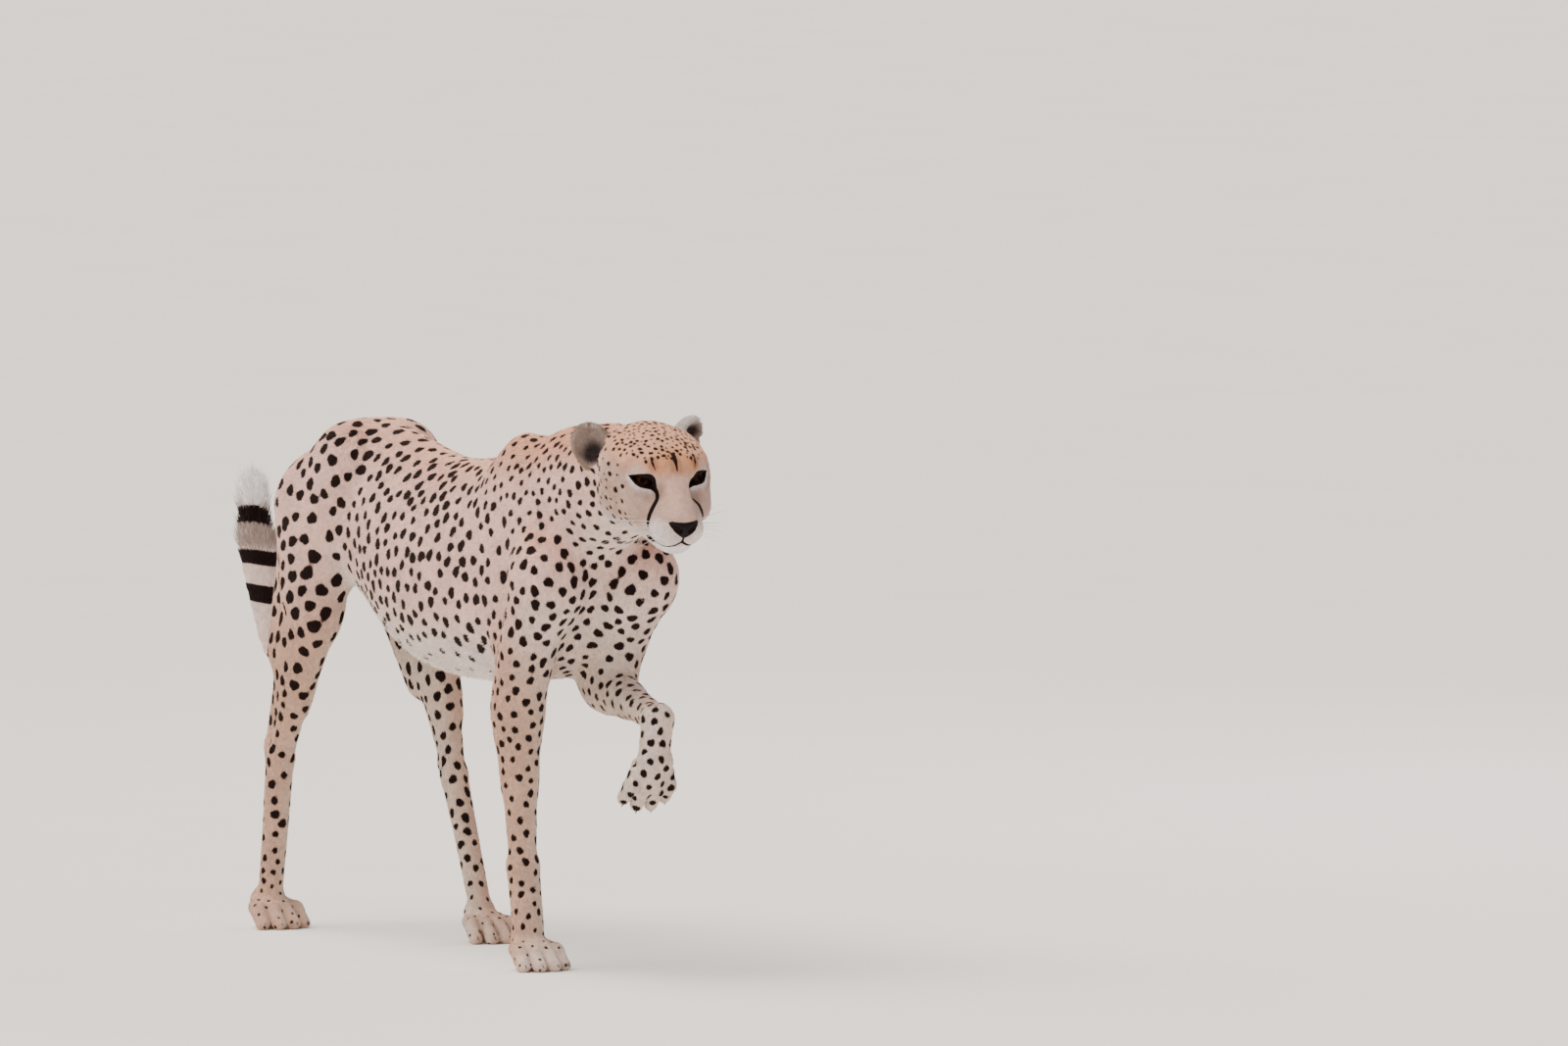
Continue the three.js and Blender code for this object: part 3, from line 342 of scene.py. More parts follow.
@dataclass
class Leg:
    """One leg: where its joints are, and the forms of its flesh."""

    name: str
    side: int  # 1 on the left, -1 on the right
    foot_y: float
    joint: tuple[float, float]  # the shoulder or the hip, in the side view
    ball_at: tuple[float, float] | None = None
    lean: float = 0.0  # of the bone above the foot, in degrees
    wrist: tuple[float, float] | None = None
    paw_turn: float = 0.0
    elbow_share: float = 0.45
    fore_top_y: float = 76
    hind_top_y: float = 64
    ankle_share: float = 0.88
    bones: Bones = field(default_factory=Bones)
    paw: Paw = field(default_factory=Paw)

    def __post_init__(self) -> None:
        """Work out the joints from the stance."""
        self.fore = self.name.startswith("fore")
        bones, rise = self.bones, self.paw.ball_height
        upper, lower = (bones.humerus, bones.radius) if self.fore else (bones.femur, bones.tibia)
        foot_bone = bones.pastern - rise if self.fore else bones.metatarsus
        slope = math.radians(self.lean)
        ankle = self.wrist or (
            self.ball_at[0] - foot_bone * math.sin(slope),
            self.ball_at[1] + foot_bone * math.cos(slope),
        )
        turn = math.radians(self.paw_turn)
        drop = foot_bone * 0.64
        self.ball = self.ball_at or (ankle[0] + drop * math.cos(turn), ankle[1] - drop * math.sin(turn))
        middle = self.bend(self.joint, ankle, upper, lower, -1 if self.fore else 1)
        top_y = self.fore_top_y if self.fore else self.hind_top_y
        self.top = self.spot(self.joint, top_y, 0.0)
        self.middle = self.spot(middle, top_y, self.elbow_share)
        self.ankle = self.spot(ankle, top_y, self.ankle_share)
        self.foot = self.place(np.array([[0.0, 0.0, rise]]))[0]
        self.size = 1.0 if self.fore else self.paw.hind_size

    @staticmethod
    def bend(a: Sequence[float], c: Sequence[float], first: float, second: float, way: int) -> Values:
        """Find the middle joint of two bones.

        Args:
            a: where the first bone starts, in the side view.
            c: where the second ends.
            first: the first bone's length.
            second: the second's.
            way: 1 when the joint bends forwards, -1 when it bends back.

        Returns:
            The joint, in the side view.
        """
        a, c = np.asarray(a, float), np.asarray(c, float)
        span = float(norm(c - a))
        reach = min(span, (first + second) * 0.999)
        along = (first * first - second * second + reach * reach) / (2 * reach)
        off = math.sqrt(max(first * first - along * along, 0.0))
        u = (c - a) / span
        return np.array([a[0] + u[0] * along - u[1] * off * way, a[1] + u[1] * along + u[0] * off * way])

    def spot(self, at: Sequence[float], top_y: float, share: float) -> Values:
        """Put a joint of the side view a share of the way out from the body's breadth to the foot's."""
        return np.array([at[0], self.side * (top_y + (self.foot_y - top_y) * share), at[1]])

    def place(self, p: Points) -> Points:
        """Carry points of the foot's own frame into the body's.

        Args:
            p: points of the foot's own frame.

        Returns:
            The same points in the body's frame.
        """
        cp, sp = math.cos(math.radians(self.paw_turn)), math.sin(math.radians(self.paw_turn))
        rise = p[:, 2] - self.paw.ball_height
        x = self.ball[0] + p[:, 0] * cp + rise * sp
        z = self.ball[1] - p[:, 0] * sp + rise * cp
        return np.stack([x, self.side * self.foot_y + p[:, 1], z], axis=1)

    def at(self, *p: float) -> Values:
        """Carry one point of the foot's own frame into the body's."""
        return self.place(np.array([p], float))[0]

    def toes(self) -> list[Toe]:
        """Fan the four toes.

        Returns:
            The toes, from right to left.
        """
        toes, paw = [], self.paw
        for place in (-1.5, -0.5, 0.5, 1.5):
            reach = paw.toe_length * (1.0 if abs(place) < 1 else paw.outer_toe) * self.size
            y = place * paw.spread * self.size
            out = math.sin(math.radians(place * paw.fan))
            r = paw.toe_radius * self.size
            root = np.array([4, y, paw.ball_height - 4])
            knuckle = np.array([reach * 0.56, y + out * reach * 0.56, paw.ball_height - 8])
            toes.append(Toe(r, root, knuckle, np.array([reach, y + out * reach, r * 0.66])))
        return toes

    def paw_forms(self) -> list[Form]:
        """Build the knuckles, the heel pad and the toes.

        Returns:
            Their forms.
        """
        s = self.size
        forms = [
            limb(self.at(-9, 0, 40), self.at(14, 0, 30), 19 * s, 18 * s, 16, 1.42),
            limb(self.at(-6, 0, 13), self.at(16, 0, 11), 13, 12, 12, 1.9),
        ]
        for toe in self.toes():
            root, knuckle, tip = (self.at(*p) for p in (toe.root, toe.knuckle, toe.tip))
            forms.append(limb(root, knuckle, toe.radius * 0.98, toe.radius, 8, 0.88))
            forms.append(limb(knuckle, tip, toe.radius, toe.radius * 0.84, 6, 0.92))
        return forms

    def forms(self) -> list[Form]:
        """Build the leg's flesh from its blade or haunch to its toes."""
        return (self.fore_forms() if self.fore else self.hind_forms()) + self.paw_forms()

    def fore_forms(self) -> list[Form]:
        """Build the shoulder, the upper arm, the forearm and the pastern.

        Returns:
            Their forms.
        """
        side, top, middle, ankle, foot = self.side, self.top, self.middle, self.ankle, self.foot
        blade = np.array([top[0] - 118, side * 42, Trunk.withers_height - 38])
        elbow = middle + (-24, 0, 20)
        return [
            limb(blade, top + (-10, 0, 4), 36, 48, 34, 0.66),
            limb(blade + (-22, 0, -46), elbow, 44, 26, 34, 0.74),
            limb(top, middle, 54, 38, 30, 0.86),
            limb(top + (6, -side * 20, -20), (40, side * 26, 470), 42, 40, 36),
            limb(mix(middle, ankle, 0.1), mix(middle, ankle, 0.5), 39, 27, 26, 0.86),
            limb(mix(middle, ankle, 0.4), ankle, 28, 21, 16, 0.96),
            limb(elbow, mix(middle, ankle, 0.35), 20, 18, 14, 0.9),
            limb(mix(top, middle, 0.6), mix(middle, ankle, 0.2), 38, 32, 26, 0.86),
            limb(ankle, mix(ankle, foot, 0.75), 23, 22, 12, 1.1),
            limb(ankle + (-16, 0, -4), ankle + (-17, 0, -14), 10, 9, 10),
        ]

    def hind_forms(self) -> list[Form]:
        """Build the haunch, the thigh, the shank, the calf and the hock.

        Returns:
            Their forms.
        """
        side, top, middle, ankle, foot = self.side, self.top, self.middle, self.ankle, self.foot
        shin = unit(ankle - middle)
        behind = np.array([shin[2], 0, -shin[0]])
        calf = mix(middle, ankle, 0.2) + behind * 30
        heel = ankle + (-27, 0, 14)
        ischium = np.array([-646, side * 48, 622])
        hip_bone = np.array([-506, side * 50, 702])
        rump = np.array([-602, side * 42, 656])
        return [
            limb(top + (36, 0, -30), mix(top, middle, 0.75), 66, 58, 44, 0.78),
            limb(hip_bone, rump, 48, 42, 50, 0.86),
            limb(hip_bone, middle + (-4, 0, 16), 44, 38, 44, 0.76),
            limb(ischium, mix(middle, ankle, 0.36) + behind * 60, 42, 38, 34, 0.72),
            limb(middle + (4, 0, 8), middle + (2, 0, -10), 34, 32, 22, 0.9),
            limb(middle, mix(middle, ankle, 0.6), 40, 27, 20, 0.86),
            limb(mix(middle, ankle, 0.5), ankle, 25, 20, 14, 0.88),
            limb(calf, heel + (0, 0, 10), 40, 12, 20, 0.76),
            limb(heel, mix(ankle, foot, 0.3) + (-8, 0, 0), 13, 13, 12, 0.9),
            limb(ankle, mix(ankle, foot, 0.9), 21, 18.5, 12, 1.02),
        ]


@dataclass
class Trunk:
    """The trunk and the neck."""

    withers_height: float = 776.0
    croup_height: float = 767.0
    front: float = 176.0
    back: float = -692.0
    closing_front: float = 80.0
    closing_back: float = -630.0
    neck: tuple[tuple[Triple, float, float], ...] = (  # middle, half height, breadth over height
        ((20, 0, 654), 110, 0.76),
        ((140, -1, 689), 94, 0.78),
        ((230, -2, 712), 79, 0.84),
        ((300, -2, 721), 61, 0.96),
    )

    def __post_init__(self) -> None:
        """Lay the back, belly and breadth lines."""
        self.top = through([
            (-692, 596), (-668, 640), (-620, 698), (-560, 744), (-500, self.croup_height), (-430, 760),
            (-340, 741), (-260, 727), (-180, 726), (-90, 736), (0, 748), (70, 736), (176, 650),
        ])
        self.bottom = through([
            (-692, 560), (-640, 552), (-580, 540), (-520, 518), (-440, 474), (-370, 436),
            (-290, 410), (-200, 400), (-100, 400), (0, 412), (70, 442), (176, 540),
        ])
        self.half = through([
            (-692, 46), (-640, 69), (-580, 80), (-500, 80), (-430, 84), (-360, 97),
            (-270, 108), (-190, 112), (-100, 108), (0, 98), (70, 90), (176, 62),
        ])

    def shape(self, p: Points) -> Values:
        """Measure the trunk: eggs across the spine, closed by a round at both ends.

        Args:
            p: points of the body's frame.

        Returns:
            A field close to the distance from its surface.
        """
        x, y, z = p.T
        inside = np.clip(x, self.back, self.front)
        top, bottom = self.top(inside), self.bottom(inside)
        ahead = (x - self.closing_front) / (self.front - self.closing_front)
        behind = (self.closing_back - x) / (self.closing_back - self.back)
        closing = np.maximum(np.maximum(ahead, behind), 0.0)
        closed = np.sqrt(np.maximum(1 - np.minimum(closing, 0.98) ** 2, 0.0))
        high = (top - bottom) / 2 * closed
        q = (z - (top + bottom) / 2) / high
        wide = self.half(inside) * closed * (1 - 0.1 * np.clip(q, -1, 1))
        k0 = np.hypot(y / wide, q)
        k1 = np.maximum(np.hypot(y / (wide * wide), q / high), 1e-9)
        across = k0 * (k0 - 1) / k1
        off = np.abs(x - inside)
        return np.where(off > 0, np.maximum(across, off), across)

    def forms(self) -> list[Form]:
        """Build the trunk and the neck's lengths.

        Returns:
            Their forms, the trunk first.
        """
        forms = [Form(self.shape, 1)]
        for (a, ra, fa), (b, rb, fb) in zip(self.neck, self.neck[1:]):
            forms.append(limb(a, b, ra, rb, 40, (fa + fb) / 2))
        forms.append(limb((110, 0, 610), (60, 0, 500), 74, 66, 50, 0.8))
        return forms


@dataclass
class Tail:
    """The tail: down behind the haunches, then up to a bushy tip."""

    line: tuple[Triple, ...] = (
        (-640, 0, 680), (-680, 3, 646), (-706, 8, 592), (-722, 13, 526), (-736, 15, 462), (-756, 13, 404),
        (-790, 8, 384), (-824, 2, 410), (-846, -3, 470), (-864, -9, 540), (-876, -12, 596), (-880, -13, 642),
    )
    steps: int = 26
    rising_from: float = -812.0  # behind this x the tail rises
    rings: tuple[tuple[float, float], ...] = ((601, 12), (538, 11), (484, 13))  # height, half breadth
    radius = staticmethod(through([(0, 30), (0.25, 26), (0.55, 25), (0.8, 29), (1, 31)]))

    def __post_init__(self) -> None:
        """Lay the tail's middle line."""
        self.path = along_curve(self.line, self.steps)
        radii = self.radius(np.linspace(0, 1, self.steps + 1))
        self.shape = melt(
            limb(self.path[i], self.path[i + 1], radii[i], radii[i + 1], 6) for i in range(self.steps)
        )

    def share(self, p: Points) -> Values:
        """Find how far along the tail each point lies, from 0 at the root to 1 at the tip."""
        gaps = norm(p[:, None, :] - self.path[None, :, :], axis=2)
        return gaps.argmin(1) / self.steps

    def share_smooth(self, p: Points) -> Values:
        """Find how far along the tail each point lies, between the middle line's points too.

        Args:
            p: the points.

        Returns:
            Shares from 0 at the root to 1 at the tip.
        """
        gaps = norm(p[:, None, :] - self.path[None, :, :], axis=2)
        i = np.clip(gaps.argmin(1), 1, self.steps - 1)
        way = self.path[i + 1] - self.path[i - 1]
        over = ((p - self.path[i]) * way).sum(1) / (way * way).sum(1) * 2
        return np.clip((i + over) / self.steps, 0, 1)


# ---- the head
@dataclass
class Head:
    """The head in its own frame: x to the nose, y to the left, z up, all from the middle of the skull."""

    size: float = 1.09
    crown_height: float = 802.0
    crown_rise: float = 56.0
    at: tuple[float, float] = (354.0, 0.5)
    breadth: float = 1.03
    yaw: float = -5.5
    pitch: float = 24.0
    roll: float = 2.0
    eye_place: Triple = (37.5, 31.4, 7.2)
    eye_radius: float = 17.0
    gaze_out: float = 27.0
    slant: float = 21.0
    lids_at: tuple[float, float] = (0.4, 3.8)
    lid_reach: float = 18.0
    ear_front: float = 12.0  # no part of the ears lies ahead of this x
    ear_place: Triple = (-62.0, 66.0, 2.0)
    ear_size: Triple = (68.0, 58.0, 38.0)
    ear_wall: float = 7.5

    upper_lid = staticmethod(through([(-18, -1), (-14, 6), (-7, 10.6), (2, 9.8), (10, 6.2), (18, 0)]))
    lower_lid = staticmethod(through([(-18, -1), (-10, -2.0), (0, -3.2), (8, -3.0), (14, -1.8), (18, 0)]))
    lash_line = staticmethod(
        through([(-24, -2), (-19, 5), (-13, 15), (-7, 19), (0, 16.8), (7, 12), (12, 7.5), (19.5, -1)])
    )
    rim_line = staticmethod(
        through([(-24, -4.6), (-16, -3.6), (-6, -3.8), (4, -4.2), (11, -3.8), (16, -2.8), (20, -1.6)])
    )

    def __post_init__(self) -> None:
        """Lay out the head's place and its forms."""
        self.eye, self.ear_at = np.array(self.eye_place), np.array(self.ear_place)
        self.turn = (
            turn_about("Z", self.yaw) @ turn_about("Y", self.pitch) @ turn_about("X", self.roll)
            @ np.diag((1.0, self.breadth, 1.0)) * self.size
        )
        self.origin = np.array([*self.at, self.crown_height - self.crown_rise])
        self.back = np.linalg.inv(self.turn)
        self.middle = melt([
            ball((-16, 0, 2), (68, 60, 45), 20),
            ball((26, 0, 8), (46, 47, 36), 24, 12),
            limb((48, 0, 6), (98, 0, -22), 27, 16, 20, 0.98),
            limb((34, 0, -32), (92, 0, -42), 42, 25, 20, 0.92),
            limb((16, 0, -56), (88, 0, -66), 28, 14, 14, 1.05),
            ball((95, 0, -68), (16, 17, 12), 10),
        ])
        self.sides = melt([
            ball((4, 35, -22), (50, 34, 42), 24),
            ball((-14, 40, 6), (34, 22, 24), 24),
            ball((0, 30, -48), (46, 30, 32), 22),
            limb((46, 42, -14), (-4, 57, -8), 14, 15, 16),
            limb((48, 18, 26), (28, 44, 22), 11, 11, 18),
            ball((94, 16, -45), (24, 18, 18), 12),
            ball((56, 36, -34), (26, 22, 22), 18),
            limb((0, 38, -54), (78, 14, -66), 20, 12, 14),
        ])
        self.socket = ball((70, 29.5, 0), (13, 11, 11), 1).shape
        up = unit((-0.3, 0.36, 0.88))
        facing = np.array((0.87, 0.48, 0.04))
        out = unit(facing - up * facing.dot(up))
        self.ear_out = out
        across = np.cross(up, out)
        tall, broad, deep = (s / 2 for s in self.ear_size)
        frame = np.array([up, out, across]).T
        self.ear_shell = ellipsoid(self.ear_at, (tall, deep, broad), frame)
        cup = self.ear_at + out * deep * 0.72 + up * 2
        self.ear_cup = ellipsoid(cup, (tall - self.ear_wall, deep + 1, broad - self.ear_wall), frame)
        self.ear_stalk = limb((-22, 40, -4), self.ear_at + (6, -12, -8), 26, 20, 1).shape
        turn = math.radians(self.gaze_out)
        self.gaze = np.array([math.cos(turn), math.sin(turn), 0.0])
        level = np.array([-math.sin(turn), math.cos(turn), 0.0])
        slant = math.radians(self.slant)
        self.lid_way = level * math.cos(slant) + np.array([0, 0, math.sin(slant)])
        self.lid_up = np.cross(self.gaze, self.lid_way)

    def inward(self, p: Points) -> Points:
        """Carry points of the body's frame into the head's."""
        return (p - self.origin) @ self.back.T

    def outward(self, p: Points) -> Points:
        """Carry points of the head's frame into the body's."""
        return np.atleast_2d(p) @ self.turn.T + self.origin

    def eye_plane(self, q: Points) -> tuple[Values, Values, Values]:
        """Measure points from the middle of the opening between the lids.

        Args:
            q: points of the head's frame, folded to the left side.

        Returns:
            How far each is along the lids, up across them and out of the eye.
        """
        off = q - self.eye
        return off @ self.lid_way + self.lids_at[0], off @ self.lid_up + self.lids_at[1], off @ self.gaze

    def lid_gap(self, q: Points) -> Values:
        """Measure how far each point is outside the opening between the lids.

        Args:
            q: points of the head's frame, folded to the left side.

        Returns:
            The distance from it, negative between the lids.
        """
        along, up, _ = self.eye_plane(q)
        gap = np.maximum(up - self.upper_lid(along), self.lower_lid(along) - up)
        return np.maximum(gap * 0.92, np.abs(along) - self.lid_reach)

    def on_ear(self, q: Points, reach: float = 3.5) -> tuple[Values, Values]:
        """Tell which points lie on an ear, and which of them in its cup.

        Args:
            q: points of the head's frame.
            reach: how far off the ear's back a point may be.

        Returns:
            Two rows of true and false.
        """
        ear = (self.ear_shell(fold(q)) < reach) & (q[:, 0] < self.ear_front)
        return ear, ear & (self.ear_cup(fold(q)) < 3)

    def bare(self, q: Points) -> Values:
        """Measure the head without its eye openings.

        Args:
            q: points of the head's frame.

        Returns:
            A field close to the distance from its surface.
        """
        f = fold(q)
        d = smooth_min(self.middle(q), self.sides(f), 18)
        d = smooth_max(d, -self.socket(f), 13)
        lids = norm(f - self.eye, axis=1) - (self.eye_radius + 3)
        d = smooth_min(d, lids, 7)
        ear = smooth_min(self.ear_shell(f), self.ear_stalk(f), 12)
        behind = q[:, 0] < self.ear_front
        eared = smooth_max(smooth_min(d, ear, 12), -self.ear_cup(f), 4)
        return np.where(behind, eared, d)

    def shape(self, p: Points) -> Values:
        """Measure the head in the body's frame."""
        return self.bare(self.inward(p)) * self.size

    def open_eyes(self, d: Values, p: Points) -> Values:
        """Cut the openings between the lids.

        Args:
            d: a field's value at each point.
            p: the points, in the body's frame.

        Returns:
            The field's values with the openings cut.
        """
        q = self.inward(p)
        f = fold(q)
        hole = np.maximum(self.lid_gap(f), (self.eye_radius * 0.6) - self.eye_plane(f)[2])
        return smooth_max(d, -hole * self.size, 1.4)


# ---- the whole flesh
class Part(Enum):
    """A region of the body, by the part that its surface belongs to."""

    HEAD = 0
    NECK = 1
    TRUNK = 2
    FORELEG_LEFT = 3
    FORELEG_RIGHT = 4
    HINDLEG_LEFT = 5
    HINDLEG_RIGHT = 6
    TAIL = 7

    def of(self, part: Values) -> Values:
        """Tell which places are in this region."""
        return part == self.value


def on_leg(part: Values) -> Values:
    """Tell which places are on a leg."""
    return (part >= Part.FORELEG_LEFT.value) & (part <= Part.HINDLEG_RIGHT.value)


@dataclass
class Flesh:
    """The whole animal as one field."""

    head_from: float = 200.0
    tail_from: float = -560.0
    tail_melt: float = 34.0

    def __post_init__(self) -> None:
        """Set the stance and melt the parts together."""
        self.trunk = Trunk()
        self.tail = Tail()
        self.head = Head()
        ball = Paw().ball_height
        self.legs = [
            Leg("foreleg_left", 1, 27, (184, 574), wrist=(298, 374), paw_turn=92, elbow_share=0.1),
            Leg("foreleg_right", -1, 73, (150, 576), (106, ball), 10),
            Leg("hindleg_left", 1, 80, (-562, 644), (-326, ball), 22),
            Leg("hindleg_right", -1, 84, (-630, 660), (-690, ball), -8),
        ]
        forms = self.trunk.forms()
        for leg in self.legs:
            forms += leg.forms()
        self.torso = melt(forms)
        self.leg_shapes = [melt(leg.forms()) for leg in self.legs]
        self.neck_shape = melt(self.trunk.forms()[1:])

    def shape(self, p: Points) -> Values:
        """Measure the whole animal out to the tips of its coat.

        Args:
            p: points of the body's frame.

        Returns:
            A field close to the distance from its surface, flat at the floor.
        """
        d = self.torso(p)
        ahead = p[:, 0] > self.head_from
        if ahead.any():
            d[ahead] = smooth_min(d[ahead], self.head.shape(p[ahead]), 26)
        behind = p[:, 0] < self.tail_from
        if behind.any():
            q = p[behind]
            root = np.clip((q[:, 0] + 715) / 40, 0, 1) * np.clip((q[:, 2] - 600) / 60, 0, 1)
            d[behind] = smooth_min(d[behind], self.tail.shape(q), 1 + self.tail_melt * root)
        return np.maximum(d, -p[:, 2])

    def parts(self, p: Points) -> Values:
        """Tell which part each point of the surface belongs to.

        Args:
            p: points of the body's frame.

        Returns:
            The number of each point's part.
        """
        rows = np.full((len(p), len(Part)), 1e3)
        rows[:, Part.HEAD.value] = self.head.shape(p)
        rows[:, Part.NECK.value] = self.neck_shape(p)
        rows[:, Part.TRUNK.value] = self.trunk.shape(p) - 6
        for k, shape in enumerate(self.leg_shapes):
            rows[:, Part.FORELEG_LEFT.value + k] = shape(p) + np.clip((p[:, 2] - 560) * 0.2, 0, 60)
        rows[:, Part.TAIL.value] = self.tail.shape(p)
        return rows.argmin(1)


# ---- surfaces
@dataclass
class Surface:
    """A closed mesh of triangles."""

    v: Values
    f: Values

    def normals(self) -> Values:
        """Find the outward way at each vertex.

        Returns:
            A way of length 1 for each.
        """
        a, b, c = (self.v[self.f[:, k]] for k in range(3))
        face = np.cross(b - a, c - a)
        total = np.stack([
            sum(np.bincount(self.f[:, k], face[:, axis], len(self.v)) for k in range(3)) for axis in range(3)
        ], 1)
        return total / np.maximum(norm(total, axis=1, keepdims=True), 1e-9)

    def edges(self) -> tuple[Values, Values]:
        """List the edges once each, and each face's three edges among them.

        Returns:
            Each edge's two vertices, and the numbers of each face's edges.
        """
        ends = np.sort(np.stack([self.f, np.roll(self.f, -1, 1)], 2).reshape(-1, 2), 1).astype(np.int64)
        keys, which = np.unique(ends[:, 0] * len(self.v) + ends[:, 1], return_inverse=True)
        return np.stack([keys // len(self.v), keys % len(self.v)], 1), which.reshape(-1, 3)

    def averaging(self) -> Callable[[Values], Values]:
        """Make a function that averages three values at each vertex over the vertex's neighbours.

        Returns:
            The function.
        """
        pairs, _ = self.edges()
        both = np.vstack([pairs, pairs[:, ::-1]])
        count = np.bincount(both[:, 0], minlength=len(self.v))[:, None]

        def average(held: Values) -> Values:
            """Average over the neighbours."""
            ends = held[both[:, 1]].T
            return np.stack([np.bincount(both[:, 0], end, len(held)) for end in ends], 1) / count

        return average

    def settle(
        self, shape: Field, cell: float, rounds: int, share: float = 0.5, choose: Field | None = None
    ) -> None:
        """Even the mesh out along a field's zero surface, and put its vertices back on it.

        Args:
            shape: the field.
            cell: the largest step that a vertex may take.
            rounds: how many times.
            share: how far each vertex goes to the middle of its neighbours.
            choose: which points move; all do without it.
        """
        moved = np.ones(len(self.v), bool) if choose is None else choose(self.v)
        average = self.averaging()
        for _ in range(rounds):
            start = self.v + (average(self.v) - self.v) * share
            self.v[moved] = onto(start[moved], shape, cell)

    def refine(self, limit: Callable[[Points], Values]) -> None:
        """Split every edge longer than a limit in half, and the faces that share it.

        Args:
            limit: the longest edge allowed at each point.
        """
        pairs, which = self.edges()
        a, b = self.v[pairs[:, 0]], self.v[pairs[:, 1]]
        long = norm(a - b, axis=1) > limit((a + b) / 2)
        fresh = np.full(len(pairs), -1)
        fresh[long] = len(self.v) + np.arange(long.sum())
        mid, f = fresh[which], self.f
        count = (mid >= 0).sum(1)
        out = [f[count == 0]]
        g, h = f[count == 3].T, mid[count == 3].T
        thirds = ((g[0], h[0], h[2]), (h[0], g[1], h[1]), (h[2], h[1], g[2]), tuple(h))
        out += [np.stack(t, 1) for t in thirds]
        for k in range(3):
            turn = [k, (k + 1) % 3, (k + 2) % 3]
            one = (count == 1) & (mid[:, k] >= 0)
            p, q, r = f[one][:, turn].T
            m = mid[one, k]
            out += [np.stack(t, 1) for t in ((p, m, r), (m, q, r))]
            two = (count == 2) & (mid[:, k] < 0)
            p, q, r = f[two][:, turn].T
            m, n = mid[two][:, turn[1]], mid[two][:, turn[2]]
            out += [np.stack(t, 1) for t in ((p, q, m), (p, m, n), (n, m, r))]
        self.v = np.vstack([self.v, (a + b)[long] / 2])
        self.f = np.vstack(out)


def onto(v: Points, shape: Field, cell: float, steps: int = 2) -> Points:
    """Move points along a field's slope until they lie on its zero surface.

    Args:
        v: the points.
        shape: the field.
        cell: the farthest that a point may go.
        steps: how many times the slope is taken.

    Returns:
        The moved points; one that would go farther than a cell stays.
    """
    h = 0.4
    q = v.copy()
    for _ in range(steps):
        d = shape(q)
        slope = np.stack([(shape(q + e) - shape(q - e)) / (2 * h) for e in np.eye(3) * h], 1)
        square = np.maximum((slope**2).sum(1), 0.04)
        q -= slope * np.clip(d / square, -cell * 0.5, cell * 0.5)[:, None]
    far = norm(q - v, axis=1) > cell
    q[far] = v[far]
    return q


def window(start: Sequence[int], size: Sequence[int]) -> tuple[slice, ...]:
    """Cut a box of a set size out of a grid."""
    return tuple(slice(a, a + b) for a, b in zip(start, size))


def each_of_block(grid: Values, block: int) -> Values:
    """Repeat each value of a rough grid for all the cells of its block."""
    return np.repeat(np.repeat(np.repeat(grid, block, 0), block, 1), block, 2)


